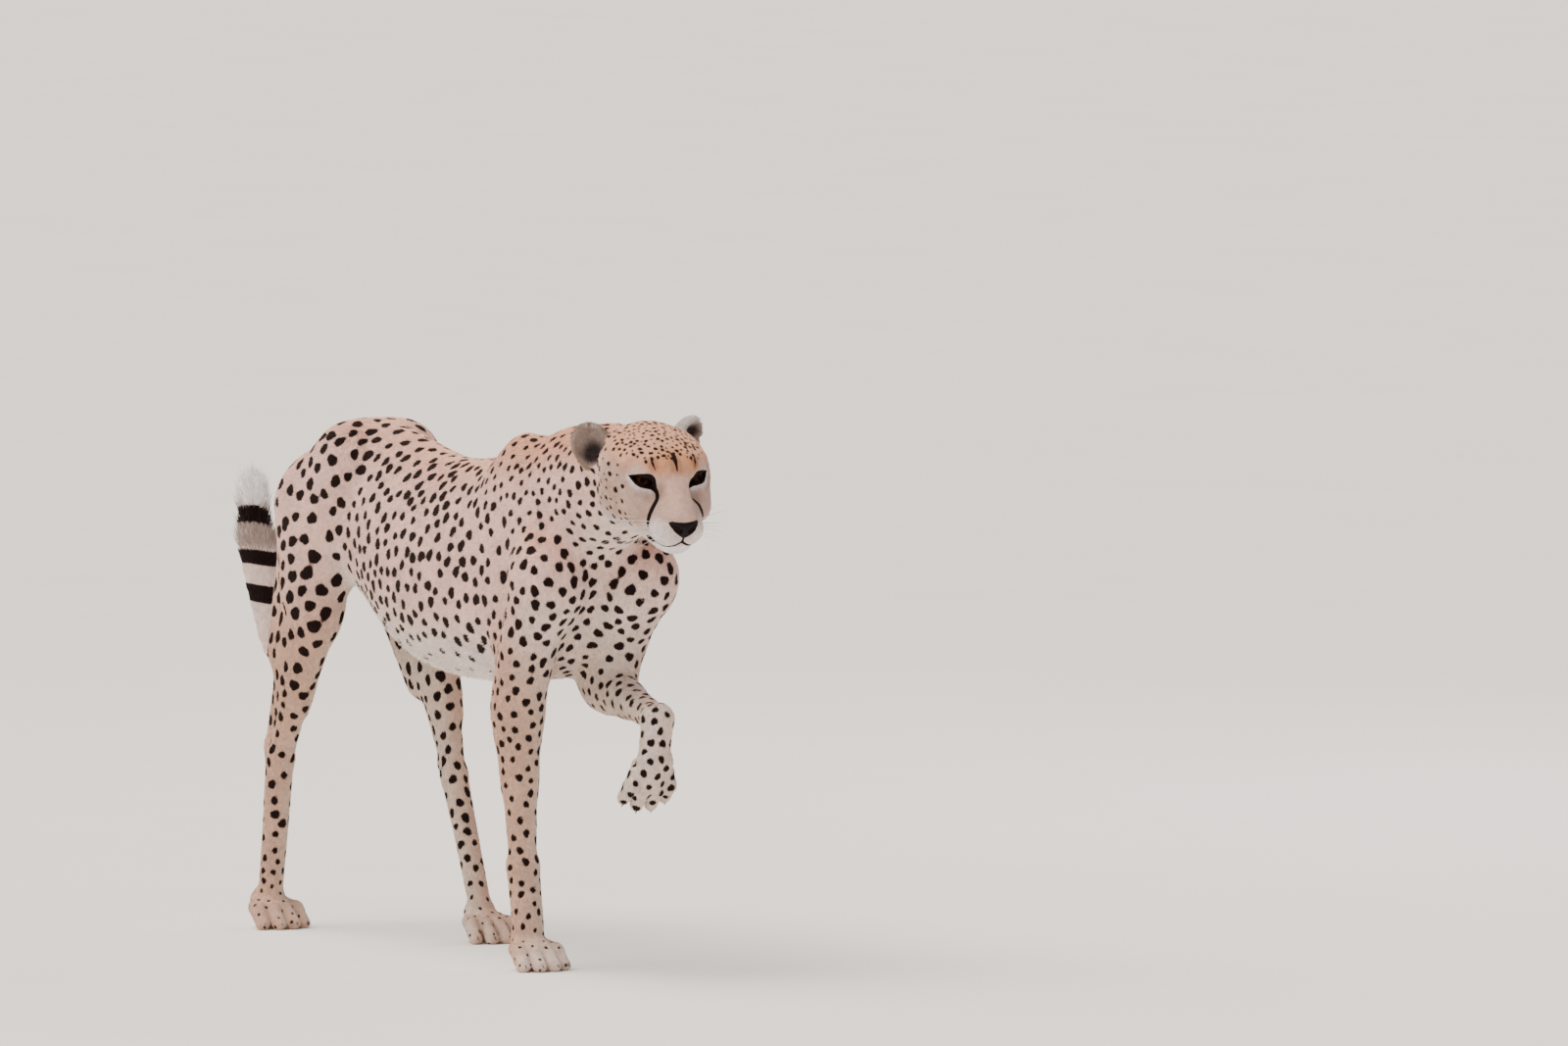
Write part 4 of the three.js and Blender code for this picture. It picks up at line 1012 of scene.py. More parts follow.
def net(shape: Field, low: Sequence[float], high: Sequence[float], cell: float) -> Surface:
    """Mesh a field's zero surface with one vertex in each grid cell that it crosses.

    Args:
        shape: the field.
        low: the lowest corner of the grid.
        high: its highest corner.
        cell: the size of its cells.

    Returns:
        The surface, its faces turned outwards.
    """
    block = 4
    corners = list(product((0, 1), repeat=3))
    low = np.asarray(low, float)
    blocks = np.ceil((np.asarray(high, float) - low) / (cell * block)).astype(int)
    n = blocks * block + 1
    corner = np.stack(np.meshgrid(*(np.arange(k + 1) for k in blocks), indexing="ij"), -1)
    rough = shape(corner.reshape(-1, 3) * cell * block + low).reshape(corner.shape[:3])
    near = np.min([np.abs(rough[window(c, blocks)]) for c in corners], axis=0)
    values = each_of_block(rough, block)[: n[0], : n[1], : n[2]].astype(np.float32)
    wanted = np.zeros(n, bool)
    spread = each_of_block(near < cell * block * 1.1, block)
    for c in corners:
        wanted[window(c, n - 1)] |= spread
    where = np.argwhere(wanted)
    values[tuple(where.T)] = shape(where * cell + low)
    inside = values < 0
    total = np.zeros(n - 1, np.uint8)
    for c in corners:
        total += inside[window(c, n - 1)]
    cells = np.argwhere((total > 0) & (total < 8))
    held = np.stack([values[tuple((cells + c).T)] for c in corners], 1)
    spot = np.zeros((len(cells), 3))
    count = np.zeros(len(cells))
    for a, ca in enumerate(corners):
        for b, cb in enumerate(corners):
            if b <= a or sum(abs(p - q) for p, q in zip(ca, cb)) != 1:
                continue
            cross = (held[:, a] < 0) != (held[:, b] < 0)
            t = held[cross, a] / (held[cross, a] - held[cross, b])
            spot[cross] += np.array(ca) + (np.array(cb) - np.array(ca)) * t[:, None]
            count[cross] += 1
    index = np.full(n - 1, -1, np.int32)
    index[tuple(cells.T)] = np.arange(len(cells))
    quads = []
    for axis in range(3):
        step, u, v = (np.eye(3, dtype=int)[(axis + k) % 3] for k in range(3))
        here = inside[: n[0] - step[0], : n[1] - step[1], : n[2] - step[2]]
        there = inside[step[0] :, step[1] :, step[2] :]
        at = np.argwhere(here != there)
        at = at[((at - u - v) >= 0).all(1) & (at < n - 1).all(1)]
        round_edge = ((0, 0), (1, 0), (1, 1), (0, 1))
        ring = np.stack([index[tuple((at - a * u - b * v).T)] for a, b in round_edge], 1)
        first = here[tuple(at.T)]
        quads.append(np.where(first[:, None], ring, ring[:, ::-1]))
    quads = np.vstack(quads)
    points = low + (cells + spot / count[:, None]) * cell
    p0, p1, p2, p3 = points[quads].transpose(1, 0, 2)
    short = norm(p0 - p2, axis=1) < norm(p1 - p3, axis=1)
    first = np.where(short[:, None], quads[:, [0, 1, 2]], quads[:, [0, 1, 3]])
    second = np.where(short[:, None], quads[:, [0, 2, 3]], quads[:, [1, 2, 3]])
    return Surface(points, np.vstack([first, second]))


class Row:
    """The row's own frame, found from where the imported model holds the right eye."""

    def __init__(self, head: Head) -> None:
        """Compare the eye's place in both frames.

        Args:
            head: the head, which holds the eye.
        """
        low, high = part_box("eye_right")
        eye = head.outward(head.eye * (1, -1, 1))[0] * MM
        self.shift = (np.asarray(low, float) + np.asarray(high, float)) / 2 - eye

    def metres(self, p: Points) -> Points:
        """Turn body points in millimetres into the row's metres."""
        return p * MM + self.shift

    def mesh(self, name: str, v: Points, f: Values, smooth: bool = True) -> Object:
        """Make a Blender object from vertices and equal-sided faces.

        Args:
            name: the piece's name.
            v: its vertices, in the body's frame in millimetres.
            f: its faces, one row of vertex numbers each.
            smooth: whether it is shaded smooth.

        Returns:
            The object, already in the scene.
        """
        mesh = bpy.data.meshes.new(name)
        sides = f.shape[1]
        mesh.vertices.add(len(v))
        mesh.vertices.foreach_set("co", self.metres(v).astype(np.float32).ravel())
        mesh.loops.add(f.size)
        mesh.loops.foreach_set("vertex_index", f.astype(np.int32).ravel())
        mesh.polygons.add(len(f))
        mesh.polygons.foreach_set("loop_start", np.arange(0, f.size, sides, dtype=np.int32))
        mesh.polygons.foreach_set("use_smooth", np.full(len(f), smooth))
        mesh.update(calc_edges=True)
        piece = bpy.data.objects.new(name, mesh)
        put(piece)
        return piece


def put(item: Object) -> None:
    """Put an object in the scene."""
    bpy.context.scene.collection.objects.link(item)


def paint(piece: Object, name: str, values: Values) -> None:
    """Store a number or a colour at each vertex, for the materials to read.

    Args:
        piece: the object.
        name: the name that the materials read.
        values: one number, or one row of linear red, green and blue, for each vertex.
    """
    kind = "FLOAT_COLOR" if values.ndim == 2 else "FLOAT"
    layer = piece.data.attributes.new(name, kind, "POINT")
    if values.ndim == 2:
        values = np.hstack([values, np.ones((len(values), 1))])
    layer.data.foreach_set("color" if kind == "FLOAT_COLOR" else "value", values.astype(np.float32).ravel())


# ---- the skin
@dataclass(frozen=True)
class Line:
    """A bent line on the face, in the head's frame, and half its width along it."""

    points: Points
    widths: Values

    def gap(self, f: Points, share: float = 1.0) -> Values:
        """Measure how far points are from the line.

        Args:
            f: the points, in the head's frame.
            share: how much of the line's width counts.

        Returns:
            The distance to the line's edge, negative within it.
        """
        best = np.full(len(f), 1e3)
        widths = self.widths * share
        for a, b, wa, wb in zip(self.points, self.points[1:], widths, widths[1:]):
            t = np.clip((f - a) @ (b - a) / ((b - a) @ (b - a)), 0, 1)
            off = norm(f - a - t[:, None] * (b - a), axis=1)
            best = np.minimum(best, off - (wa + (wb - wa) * t))
        return best


@dataclass
class Face:
    """The lines of the face, on its left side; the right side mirrors them."""

    head: Head
    mouth_depth: float = 4.4
    mouth_width: float = 2.2
    groove_depth: float = 1.2
    groove_width: float = 1.8
    skin_under: float = 1.0

    def __post_init__(self) -> None:
        """Lay every line on the skin."""
        lips = [
            (118, 0, -56), (115, 7, -60), (110, 14, -62.5), (102, 20, -65),
            (92, 26, -66), (80, 31, -65), (66, 35, -60),
        ]
        self.mouth = self.lay(lips, [2.8, 2.6, 2.1, 1.8, 1.7, 1.7, 1.5], 2.6)
        self.corner = self.lay([(88, 29, -65), (82, 31, -66.5), (75, 33, -68)], [2.6, 4.4, 3.0])
        self.philtrum = self.lay([(121, 0, -45), (119, 0, -51), (118, 0, -56)], [1.9, 1.8, 2.4], 1.6)
        tear = [
            (60, 21, -5), (70, 24, -10), (77, 29, -15), (82, 34, -21),
            (85, 38, -30), (86.5, 40, -39), (85, 39, -49),
        ]
        self.tear = self.lay(tear, [2.4, 2.8, 2.8, 2.6, 2.5, 2.1, 1.0])
        self.crown_streak = self.lay([(46, 2, 45), (58, 0.5, 38), (70, 0, 27)], [1.2, 2.2, 0.6])
        self.brow_streak = self.lay([(46, 30, 40), (54, 30, 34), (62, 27, 26)], [0.8, 1.5, 0.4])

    def lay(self, stations: Sequence[Triple], widths: Sequence[float], under: float | None = None) -> Line:
        """Lay a line through stations on the surface, or a set depth under it.

        Args:
            stations: places near the line, in the head's frame.
            widths: half the line's width at each.
            under: how deep it lies; the depth of the skin without it.

        Returns:
            The line.
        """
        steps = 4 * (len(stations) - 1)
        depth = self.skin_under if under is None else under
        points = onto(along_curve(stations, steps), lambda q: self.head.bare(q) + depth, 6.0, 6)
        return Line(points, np.interp(np.linspace(0, 1, steps + 1), np.linspace(0, 1, len(widths)), widths))

    def lip_gap(self, f: Points) -> Values:
        """Measure how far points are from the line of the mouth and the groove above it."""
        return np.minimum(self.mouth.gap(f), self.philtrum.gap(f))

    def whisker_roots(self) -> Points:
        """Place the whiskers' roots, in four rows on the left side of the muzzle."""
        roots = [(101 - 8.5 * k - 1.5 * i, 21 + 3.2 * k, -37 - 5.2 * i) for i in range(4) for k in range(3)]
        return onto(np.array(roots, float), lambda q: self.head.bare(q) + self.skin_under, 6.0, 6)


@dataclass
class Skin:
    """One skin over the whole animal, lying inside the solids by the coat's depth."""

    flesh: Flesh
    cell: float = 6.3
    low: Triple = (-926, -150, -14)
    high: Triple = (512, 150, 838)
    head_from: float = 262.0  # the head and the top of the neck lie ahead of this x
    face_from: float = 330.0
    head_edge: float = 3.6
    muzzle_edge: float = 2.6
    line_edge: float = 1.3
    foot_edge: float = 3.4

    def __post_init__(self) -> None:
        """Mesh the flesh, then make the mesh finer where the form is."""
        self.face = Face(self.flesh.head)
        self.mesh = net(self.shape, self.low, self.high, self.cell)
        log.info("skin: %d triangles in the first net", len(self.mesh.f))
        self.mesh.settle(self.shape, self.cell, 2)
        for _ in range(3):
            self.mesh.refine(self.limit)
            self.mesh.settle(self.shape, self.cell / 2, 1, 0.4, self.fine)
        self.crease()
        self.normals = self.mesh.normals()
        self.part = self.flesh.parts(self.mesh.v)
        log.info("skin: %d triangles", len(self.mesh.f))

    def depth(self, p: Points) -> Values:
        """Tell how deep the coat is.

        Args:
            p: points of the body's frame.

        Returns:
            The depth over each: least on the face, most on the tail's tip, and none at the soles.
        """
        z, x = p[:, 2], p[:, 0]
        q = self.flesh.head.inward(p)
        head = ease(x, 285, 320)
        face = 1.5 - 0.7 * ease(q[:, 0], 30, 90)
        body = 3.0 + 1.6 * ease(-z, -430, -400) * ease(-np.abs(x + 190), -260, -200)
        body = body - 1.4 * ease(-z, -400, -250)
        tip = ease(z, 560, 600) * ease(-x, 810, 830)
        body = body + 7.0 * tip
        return (body * (1 - head) + face * head) * ease(z, 2, 16)

    def shape(self, p: Points) -> Values:
        """Measure the skin, with the lids open.

        Args:
            p: points of the body's frame.

        Returns:
            A field close to the distance from its surface.
        """
        d = self.flesh.shape(p)
        near = np.abs(d) < 40
        d[near] += self.depth(p[near])
        ahead = near & (p[:, 0] > self.face_from)
        if ahead.any():
            d[ahead] = self.flesh.head.open_eyes(d[ahead], p[ahead])
        return d

    def fine(self, p: Points) -> Values:
        """Choose the points whose mesh is made finer."""
        return (p[:, 0] > 255) | (p[:, 2] < 110)

    def limit(self, p: Points) -> Values:
        """Give the longest edge that the mesh may have at each point.

        Args:
            p: points of the body's frame.

        Returns:
            The limit at each.
        """
        out = np.full(len(p), 1e3)
        out[p[:, 2] < 85] = self.foot_edge
        ahead = np.flatnonzero(p[:, 0] > self.head_from)
        q = self.flesh.head.inward(p[ahead])
        f = fold(q)
        edge = np.where(q[:, 0] > 40, self.muzzle_edge, self.head_edge)
        edge = np.where(p[ahead, 2] < 560, self.foot_edge, edge)
        lids = (np.abs(self.flesh.head.lid_gap(f)) < 6) & (q[:, 0] > 36)
        out[ahead] = np.where(lids | (self.face.lip_gap(f) < 3), self.line_edge, edge)
        return out

    def crease(self) -> None:
        """Press the mouth's line and the groove under the nose into the skin."""
        ahead = np.flatnonzero(self.mesh.v[:, 0] > 400)
        q = self.flesh.head.inward(self.mesh.v[ahead])
        f = fold(q)
        face = self.face
        lips = face.mouth.gap(f, 0) / face.mouth_width
        groove = face.philtrum.gap(f, 0) / face.groove_width
        sink = face.mouth_depth * np.exp(-lips * lips) + face.groove_depth * np.exp(-groove * groove)
        self.mesh.v[ahead] -= self.mesh.normals()[ahead] * sink[:, None]


# ---- colours and spots
def linear(code: str) -> Values:
    """Turn an sRGB hex colour into linear light."""
    value = np.array([int(code[i : i + 2], 16) for i in (1, 3, 5)]) / 255
    return np.where(value <= 0.04045, value / 12.92, ((value + 0.055) / 1.055) ** 2.4)


@dataclass(frozen=True)
class CoatColours:
    """Cheetah fur: tawny above, white below, black spots; the fibres are matt with a soft sheen."""

    back: str = "#e8b6a0"
    flank: str = "#eec9bd"
    belly: str = "#f2e6df"
    leg: str = "#d3ad96"
    inner: str = "#ddcabb"
    nape: str = "#dda386"
    crown: str = "#e0a98a"
    bridge: str = "#deb8a8"
    cheek: str = "#c8a899"
    white: str = "#f2ecee"
    rust: str = "#8a4f33"
    ear_back: str = "#98806f"
    ear_inside: str = "#b5a198"
    # painted shadow deep in the ears' cups
    ear_hollow_shade: str = "#23151a"
    # pale hair on the ears' rims, also used as painted light: strong on the left ear as if lit from behind,
    # weak on the right as painted shade
    ear_rim_and_backlight: str = "#d8d0ce"
    tan: str = "#cc8a52"
    tail_tip: str = "#fdfbfa"
    tail_grey: str = "#97837a"


class Layers:
    """Fur colours at many places, each laid over the last."""

    def __init__(self, colours: CoatColours, first: str, count: int) -> None:
        """Start with one colour everywhere."""
        self.colours = colours
        self.held = np.repeat(linear(getattr(colours, first))[None], count, 0)

    def lay(self, colour: str, share: Values) -> None:
        """Lay a share of a named colour over what each place holds."""
        self.held += (linear(getattr(self.colours, colour)) - self.held) * np.clip(share, 0.0, 1.0)[:, None]


@dataclass
class Spots:
    """The spots' middles, sizes and slightly uneven outlines."""

    at: Values
    normal: Values
    along: Values
    radius: Values
    twist: Values
    block: float = 60.0
    reach: float = 36.0

    def gap(self, p: Points) -> Values:
        """Measure how far points are from the spots.

        Args:
            p: the points.

        Returns:
            The distance from the nearest spot's edge, negative within a spot.
        """
        out = np.full(len(p), self.reach)
        keys = np.floor(p / self.block).astype(int)
        order = np.lexsort(keys.T)
        keys = keys[order]
        cuts = np.flatnonzero(np.any(np.diff(keys, axis=0), axis=1)) + 1
        for group in np.split(order, cuts):
            low, high = p[group].min(0) - self.reach, p[group].max(0) + self.reach
            near = np.flatnonzero(((self.at > low) & (self.at < high)).all(1))
            if len(near):
                out[group] = np.minimum(out[group], self.measure(p[group], near))
        return out

    def measure(self, p: Points, near: Values) -> Values:
        """Measure points against some of the spots.

        Args:
            p: the points.
            near: the numbers of the spots.

        Returns:
            The distance from the nearest one's edge, negative within it.
        """
        off = p[:, None, :] - self.at[near][None]
        across = np.cross(self.normal[near], self.along[near])
        u = (off * self.along[near][None]).sum(2) / 1.1
        v = (off * across[None]).sum(2)
        w = (off * self.normal[near][None]).sum(2)
        angle = np.arctan2(v, u)
        twist = self.twist[near]
        edge = 1 + 0.11 * np.sin(2 * angle + twist[:, 0]) + 0.08 * np.sin(3 * angle + twist[:, 1])
        edge = edge + 0.04 * np.sin(5 * angle + twist[:, 2])
        return (np.sqrt(u * u + v * v + w * w) - self.radius[near] * edge).min(1)


@dataclass
class Markings:
    """What colour the coat has at every place, and where it is black."""

    skin: Skin
    colours: CoatColours = CoatColours()
    seed: int = 11
    crisp: float = 2.2  # how much sharper a mark's edge is on the face than on the body

    def __post_init__(self) -> None:
        """Lay the spots over the skin, spaced as each part of the body spaces them."""
        skin = self.skin
        self.flesh, self.face = skin.flesh, skin.face
        rng = np.random.default_rng(self.seed)
        radius, spacing = self.pattern(skin.mesh.v, skin.normals, skin.part)
        head, count = Part.HEAD.of(skin.part), len(radius)
        spacing = spacing * np.where(head, rng.uniform(0.75, 1.5, count), rng.uniform(0.92, 1.1, count))
        radius = radius * np.where(head, rng.uniform(0.6, 1.45, count), rng.uniform(0.8, 1.16, count))
        chosen = self.scatter(skin.mesh.v, spacing, rng)
        along = lie(skin.flesh, skin.mesh.v[chosen], skin.normals[chosen], skin.part[chosen])
        twist = rng.uniform(0, 2 * math.pi, (len(chosen), 3))
        self.spots = Spots(skin.mesh.v[chosen], skin.normals[chosen], along, radius[chosen], twist)
        log.info("markings: %d spots", len(chosen))

    @staticmethod
    def scatter(v: Points, spacing: Values, rng: np.random.Generator) -> Values:
        """Choose vertices no nearer to each other than their spacing.

        Args:
            v: every vertex.
            spacing: the least gap round each, or 0 where none is chosen.
            rng: the source of their order.

        Returns:
            The numbers of the chosen vertices.
        """
        held: dict[tuple[int, int, int], list[int]] = {}
        size = 40.0
        beside = list(product((-1, 0, 1), repeat=3))
        chosen = []
        order = rng.permutation(np.flatnonzero(spacing > 0))
        places, gaps = v.tolist(), spacing.tolist()
        for i in order.tolist():
            x, y, z = places[i]
            cx, cy, cz = int(x // size), int(y // size), int(z // size)
            near = (j for a, b, c in beside for j in held.get((cx + a, cy + b, cz + c), ()))
            if all(
                (places[j][0] - x) ** 2 + (places[j][1] - y) ** 2 + (places[j][2] - z) ** 2
                >= ((gaps[i] + gaps[j]) / 2) ** 2
                for j in near
            ):
                held.setdefault((cx, cy, cz), []).append(i)
                chosen.append(i)
        return np.array(chosen)

    def pattern(self, p: Points, n: Points, part: Values) -> tuple[Values, Values]:
        """Give the spots' sizes.

        Args:
            p: places on the skin.
            n: the skin's outward way at each.
            part: the region of each.

        Returns:
            The spots' radius and spacing at each place; a spacing of 0 bears none.
        """
        x, y, z = p.T
        radius = np.full(len(p), 7.8)
        spacing = np.full(len(p), 21.5)
        rump = ease(-x, 440, 560)
        radius += 0.9 * rump
        spacing += 2.0 * rump
        below = ease(-n[:, 2], 0.45, 0.8) * Part.TRUNK.of(part)
        radius -= 2.5 * below
        spacing += 12 * below
        chest = ease(x, 90, 150) * ease(-z, -600, -540)
        radius -= 1.8 * chest
        spacing -= 1.0 * chest
        neck = Part.NECK.of(part)
        radius[neck], spacing[neck] = 5.6, 17.5
        for k, leg in enumerate(self.flesh.legs):
            mine = part == Part.FORELEG_LEFT.value + k
            high = ease(z, 320, 560)
            low = ease(z, 60, 170)
            if leg.fore:
                size = (3.8 + 1.3 * low) * (1 - high) + 7.1 * high
                gap = (14.5 + 2 * low) * (1 - high) + 20.5 * high
            else:
                thigh = ease(z, 330, 470)
                size = (3.9 + 2.4 * low) * (1 - thigh) + 9.4 * thigh
                gap = (14.5 + 4 * low) * (1 - thigh) + 25.5 * thigh
            foot = ease(-z, -70, -40)
            size, gap = size * (1 - foot) + 2.3 * foot, gap * (1 - foot) + 15 * foot
            radius[mine], spacing[mine] = size[mine], gap[mine]
        tail = Part.TAIL.of(part)
        share = self.flesh.tail.share(p[tail])
        radius[tail] = 7.5
        spacing[tail] = np.where((share < 0.6) | (x[tail] > self.flesh.tail.rising_from), 20, 0)
        head = Part.HEAD.of(part)
        q = self.flesh.head.inward(p[head])
        side = np.abs(q[:, 1])
        crown = ease(q[:, 2], 18, 34)
        size = 3.0 * (1 - crown) + 2.3 * crown
        gap = 12.5 * (1 - crown) + 7.0 * crown
        nape = ease(-q[:, 0], 30, 66) * crown
        size, gap = size + 3.0 * nape, gap + 9 * nape
        behind = ease(-q[:, 0], 0, 36) * (1 - crown)
        size, gap = size + 1.7 * behind, gap + 3.5 * behind
        bare = (q[:, 0] > 56) | ((q[:, 0] > 22) & (q[:, 2] < 32) & (side < 60) & (q[:, 2] > -30))
        bare |= self.flesh.head.ear_shell(fold(q)) < 4
        bare |= (q[:, 2] < -62) & (q[:, 0] > 20)
        radius[head], spacing[head] = size, np.where(bare, 0, gap)
        return radius, spacing

    def black(self, p: Points, part: Values) -> Values:
        """Measure how far each place is from black fur or black skin.

        Args:
            p: points of the body's frame.
            part: the region of each.

        Returns:
            The distance from the nearest mark's edge, negative within a mark.
        """
        gap = self.spots.gap(p)
        head = np.flatnonzero(p[:, 0] > Skin.head_from)
        if len(head):
            gap[head] = np.minimum(gap[head], self.face_gap(p[head]))
        tail = Part.TAIL.of(part)
        if tail.any():
            gap[tail] = np.minimum(gap[tail], self.tail_gap(p[tail]))
        return gap

    def face_gap(self, p: Points) -> Values:
        """Measure the rims of the eyes, the tear lines, the streaks, the lips and the backs of the ears.

        Args:
            p: points of the body's frame.

        Returns:
            The distance from the nearest mark's edge, negative within a mark.
        """
        head, face = self.flesh.head, self.face
        q = head.inward(p)
        f = fold(q)
        along, up, deep = head.eye_plane(f)
        lids = np.maximum(up - head.lash_line(along), head.rim_line(along) - up)
        rim = np.where(deep > 4, np.maximum(lids * 0.92, np.abs(along + 2.2) - 21.8), 40)
        lines = (face.tear, face.crown_streak, face.brow_streak, face.mouth, face.corner, face.philtrum)
        gap = np.minimum.reduce([rim, *(line.gap(f) for line in lines)])
        gap = np.minimum(gap, nose_gap(f) + 1 + 5 * ease(f[:, 2], -28, -22))
        dots = norm(f[:, None] - face.whisker_roots()[None], axis=2).min(1) - 5.6
        gap = np.minimum(gap, np.maximum(dots, np.where(dots < 4, 0.35, 4.0)))
        back = head.ear_at - head.ear_out * 16 - (0, 0, 12)
        behind = (q[:, 0] < -60) & (head.ear_cup(f) > 3)
        gap = np.minimum(gap, np.where(behind, norm(f - back, axis=1) - 19, 40))
        return gap * head.size * self.crisp

    def tail_gap(self, p: Points) -> Values:
        """Measure the rings on the tail's rising end.

        Args:
            p: points of the body's frame.

        Returns:
            The distance from the nearest ring's edge, negative within a ring.
        """
        x, y, z = p.T
        uneven = 3 * np.sin(2 * np.arctan2(y, x + 868) + 1)
        gap = np.min([np.abs(z + uneven - at) - half for at, half in Tail.rings], axis=0)
        return np.where(x < Tail.rising_from, gap, 40)

    def ground(self, p: Points, n: Points, part: Values) -> Values:
        """Give the colour of the fur between the spots.

        Args:
            p: places on the skin.
            n: the skin's outward way at each.
            part: the region of each.

        Returns:
            Linear red, green and blue at each place.
        """
        x, _, z = p.T
        fur = Layers(self.colours, "flank", len(p))
        fur.lay("back", ease(n[:, 2], 0.35, 0.9))
        leg = on_leg(part)
        fur.lay("leg", leg * ease(-z, -560, -420))
        side = np.where(Part.FORELEG_LEFT.of(part) | Part.HINDLEG_LEFT.of(part), 1, -1)
        fur.lay("inner", leg * ease(-z, -600, -480) * ease(-side * n[:, 1], 0.1, 0.7))
        rise = (z - self.flesh.trunk.bottom(x)) / 120
        fur.lay("belly", Part.TRUNK.of(part) * np.maximum(ease(-n[:, 2], 0.1, 0.6), ease(-rise, -0.6, 0.0)))
        fur.lay("belly", ease(x, 100, 170) * ease(-z, -610, -500) * ease(n[:, 0], -0.1, 0.5) * 0.6)
        fur.lay("nape", Part.NECK.of(part) * ease(n[:, 2], 0.1, 0.7))
        fur.lay("belly", Part.NECK.of(part) * ease(-n[:, 2], 0.2, 0.8) * 0.6)
        tail = Part.TAIL.of(part)
        share = np.zeros(len(p))
        share[tail] = self.flesh.tail.share_smooth(p[tail])
        fur.lay("belly", tail * ease(share, 0.45, 0.7) * 0.7)
        rising = tail * (x < Tail.rising_from)
        fur.lay("tail_grey", rising * ease(z, 546, 552) * 0.8)
        fur.lay("tail_tip", rising * ease(z, 608, 616))
        head = np.flatnonzero(Part.HEAD.of(part))
        fur.held[head] = self.face_ground(p[head])
        return fur.held

    def soft_ground(self) -> Values:
        """Give the colour at each of the skin's vertices, blended where parts of the body meet.

        Returns:
            Linear red, green and blue at each.
        """
        skin = self.skin
        colour = self.ground(skin.mesh.v, skin.normals, skin.part)
        average = skin.mesh.averaging()
        soft = ((skin.mesh.v[:, 0] < 275) & (skin.mesh.v[:, 0] > -805))[:, None] * 0.8
        for _ in range(14):
            colour = colour + (average(colour) - colour) * soft
        return colour

    def face_ground(self, p: Points) -> Values:
        """Give the colour of the fur on the head.

        Args:
            p: places on the head's skin, in the body's frame.

        Returns:
            Linear red, green and blue at each place.
        """
        head = self.flesh.head
        q = head.inward(p)
        f = fold(q)
        x, y, z = f.T
        fur = Layers(self.colours, "cheek", len(p))

        def patch(at: Triple, size: Triple) -> Values:
            """Make a round patch with a soft edge."""
            return ease(-np.sqrt((((f - at) / size) ** 2).sum(1)), -1.4, -0.55)

        fur.lay("crown", ease(z, 2, 30))
        fur.lay("flank", ease(-x, 0, 40) * ease(-z, -20, 5))
        fur.lay("bridge", ease(-y, -24, -10) * ease(x, 52, 72) * ease(z, -30, -12))
        fur.lay("white", patch((98, 20, -46), (26, 26, 17)) * 0.85)
        fur.lay("white", patch((95, 0, -72), (34, 26, 14)))
        along, up, deep = head.eye_plane(f)
        under = head.rim_line(along) - up
        socket = (deep > 4) * ease(-np.abs(along), -24, -16)
        fur.lay("white", socket * ease(under, -3, -1) * ease(-under, -8, -1.5) * 0.8)
        fur.lay("white", socket * ease(up - head.lash_line(along), -2, 1) * ease(-up, -26, -12) * 0.35)
        fur.lay("tan", patch((56, 8, 33), (24, 22, 16)) * 0.6)
        fur.lay("tan", patch((14, 56, -16), (16, 14, 12)) * 0.3)
        fur.lay("white", ease(-z, 48, 70) * ease(x, -30, 20) * 0.6)
        fur.lay("rust", patch((56, 29, 32), (12, 6, 10)) * 0.55)
        fur.lay("rust", patch((64, 2, 32), (15, 7, 12)) * 0.45)
        ear, inside = head.on_ear(q)
        fur.lay("ear_back", ear)
        fur.lay("ear_inside", inside)
        left, right = q[:, 1] > 0, q[:, 1] < 0
        # painted shadow in each ear's hollow, set at a different place in the near ear and the far ear
        near, far = (f - (-59, 64, -10)) / (17, 15, 20), (f - (-70, 75, 7)) / (15, 12, 11)
        hollow = np.where(left[:, None], far, near)
        fur.lay("ear_hollow_shade", inside * ease(-norm(hollow, axis=1), -1.35, -0.5))
        # the rims' pale hair, painted lighter on the left ear as painted light from behind and fainter on the
        # right ear as painted shade
        fur.lay("ear_rim_and_backlight", ear * ease(z, 10, 28) * left * 0.9)
        fur.lay("ear_rim_and_backlight", ear * ease(z, 22, 34) * right * 0.4)
        return fur.held


def lie(flesh: Flesh, p: Points, n: Points, part: Values) -> Points:
    """Find which way the fur lies: back from the nose, along the body, and down the legs and the tail.

    Args:
        flesh: the animal.
        p: places on the skin.
        n: the skin's outward way at each.
        part: the region of each.

    Returns:
        A way of length 1 along the skin at each place.
    """
    x, z = p[:, 0], p[:, 2]
    legs = on_leg(part)
    beside = ease(np.abs(p[:, 1]), 20, 55) * np.maximum(ease(x, -40, 60), ease(-x, 370, 430)) * 0.8
    hanging = np.where(legs, 1.0, beside) * ease(-z, -640, -400)
    down = np.maximum(ease(np.abs(n[:, 0]), 0.2, 0.7), hanging)[:, None]
    way = np.array([-1.0, 0.0, -0.35]) * (1 - down) + np.array([-0.2, 0.0, -1.0]) * down
    foot = z < 55
    way[foot] = (1.0, 0.0, -0.5)
    tail = Part.TAIL.of(part)
    if tail.any():
        path = flesh.tail.path
        step = np.gradient(path, axis=0)
        way[tail] = step[norm(p[tail][:, None] - path[None], axis=2).argmin(1)]
    head = Part.HEAD.of(part)
    if head.any():
        q = flesh.head.inward(p[head])
        away = q - (122, 0, -16)
        away /= norm(away, axis=1, keepdims=True)
        away += (-0.5, 0, -0.1)
        ear, _ = flesh.head.on_ear(q)
        away[ear] = (-0.3, 0.0, 0.88)
        away[ear, 1] = np.sign(q[ear, 1]) * 0.36
        way[head] = away @ flesh.head.turn.T
    way = way - n * (way * n).sum(1, keepdims=True)
    return way / np.maximum(norm(way, axis=1, keepdims=True), 1e-6)


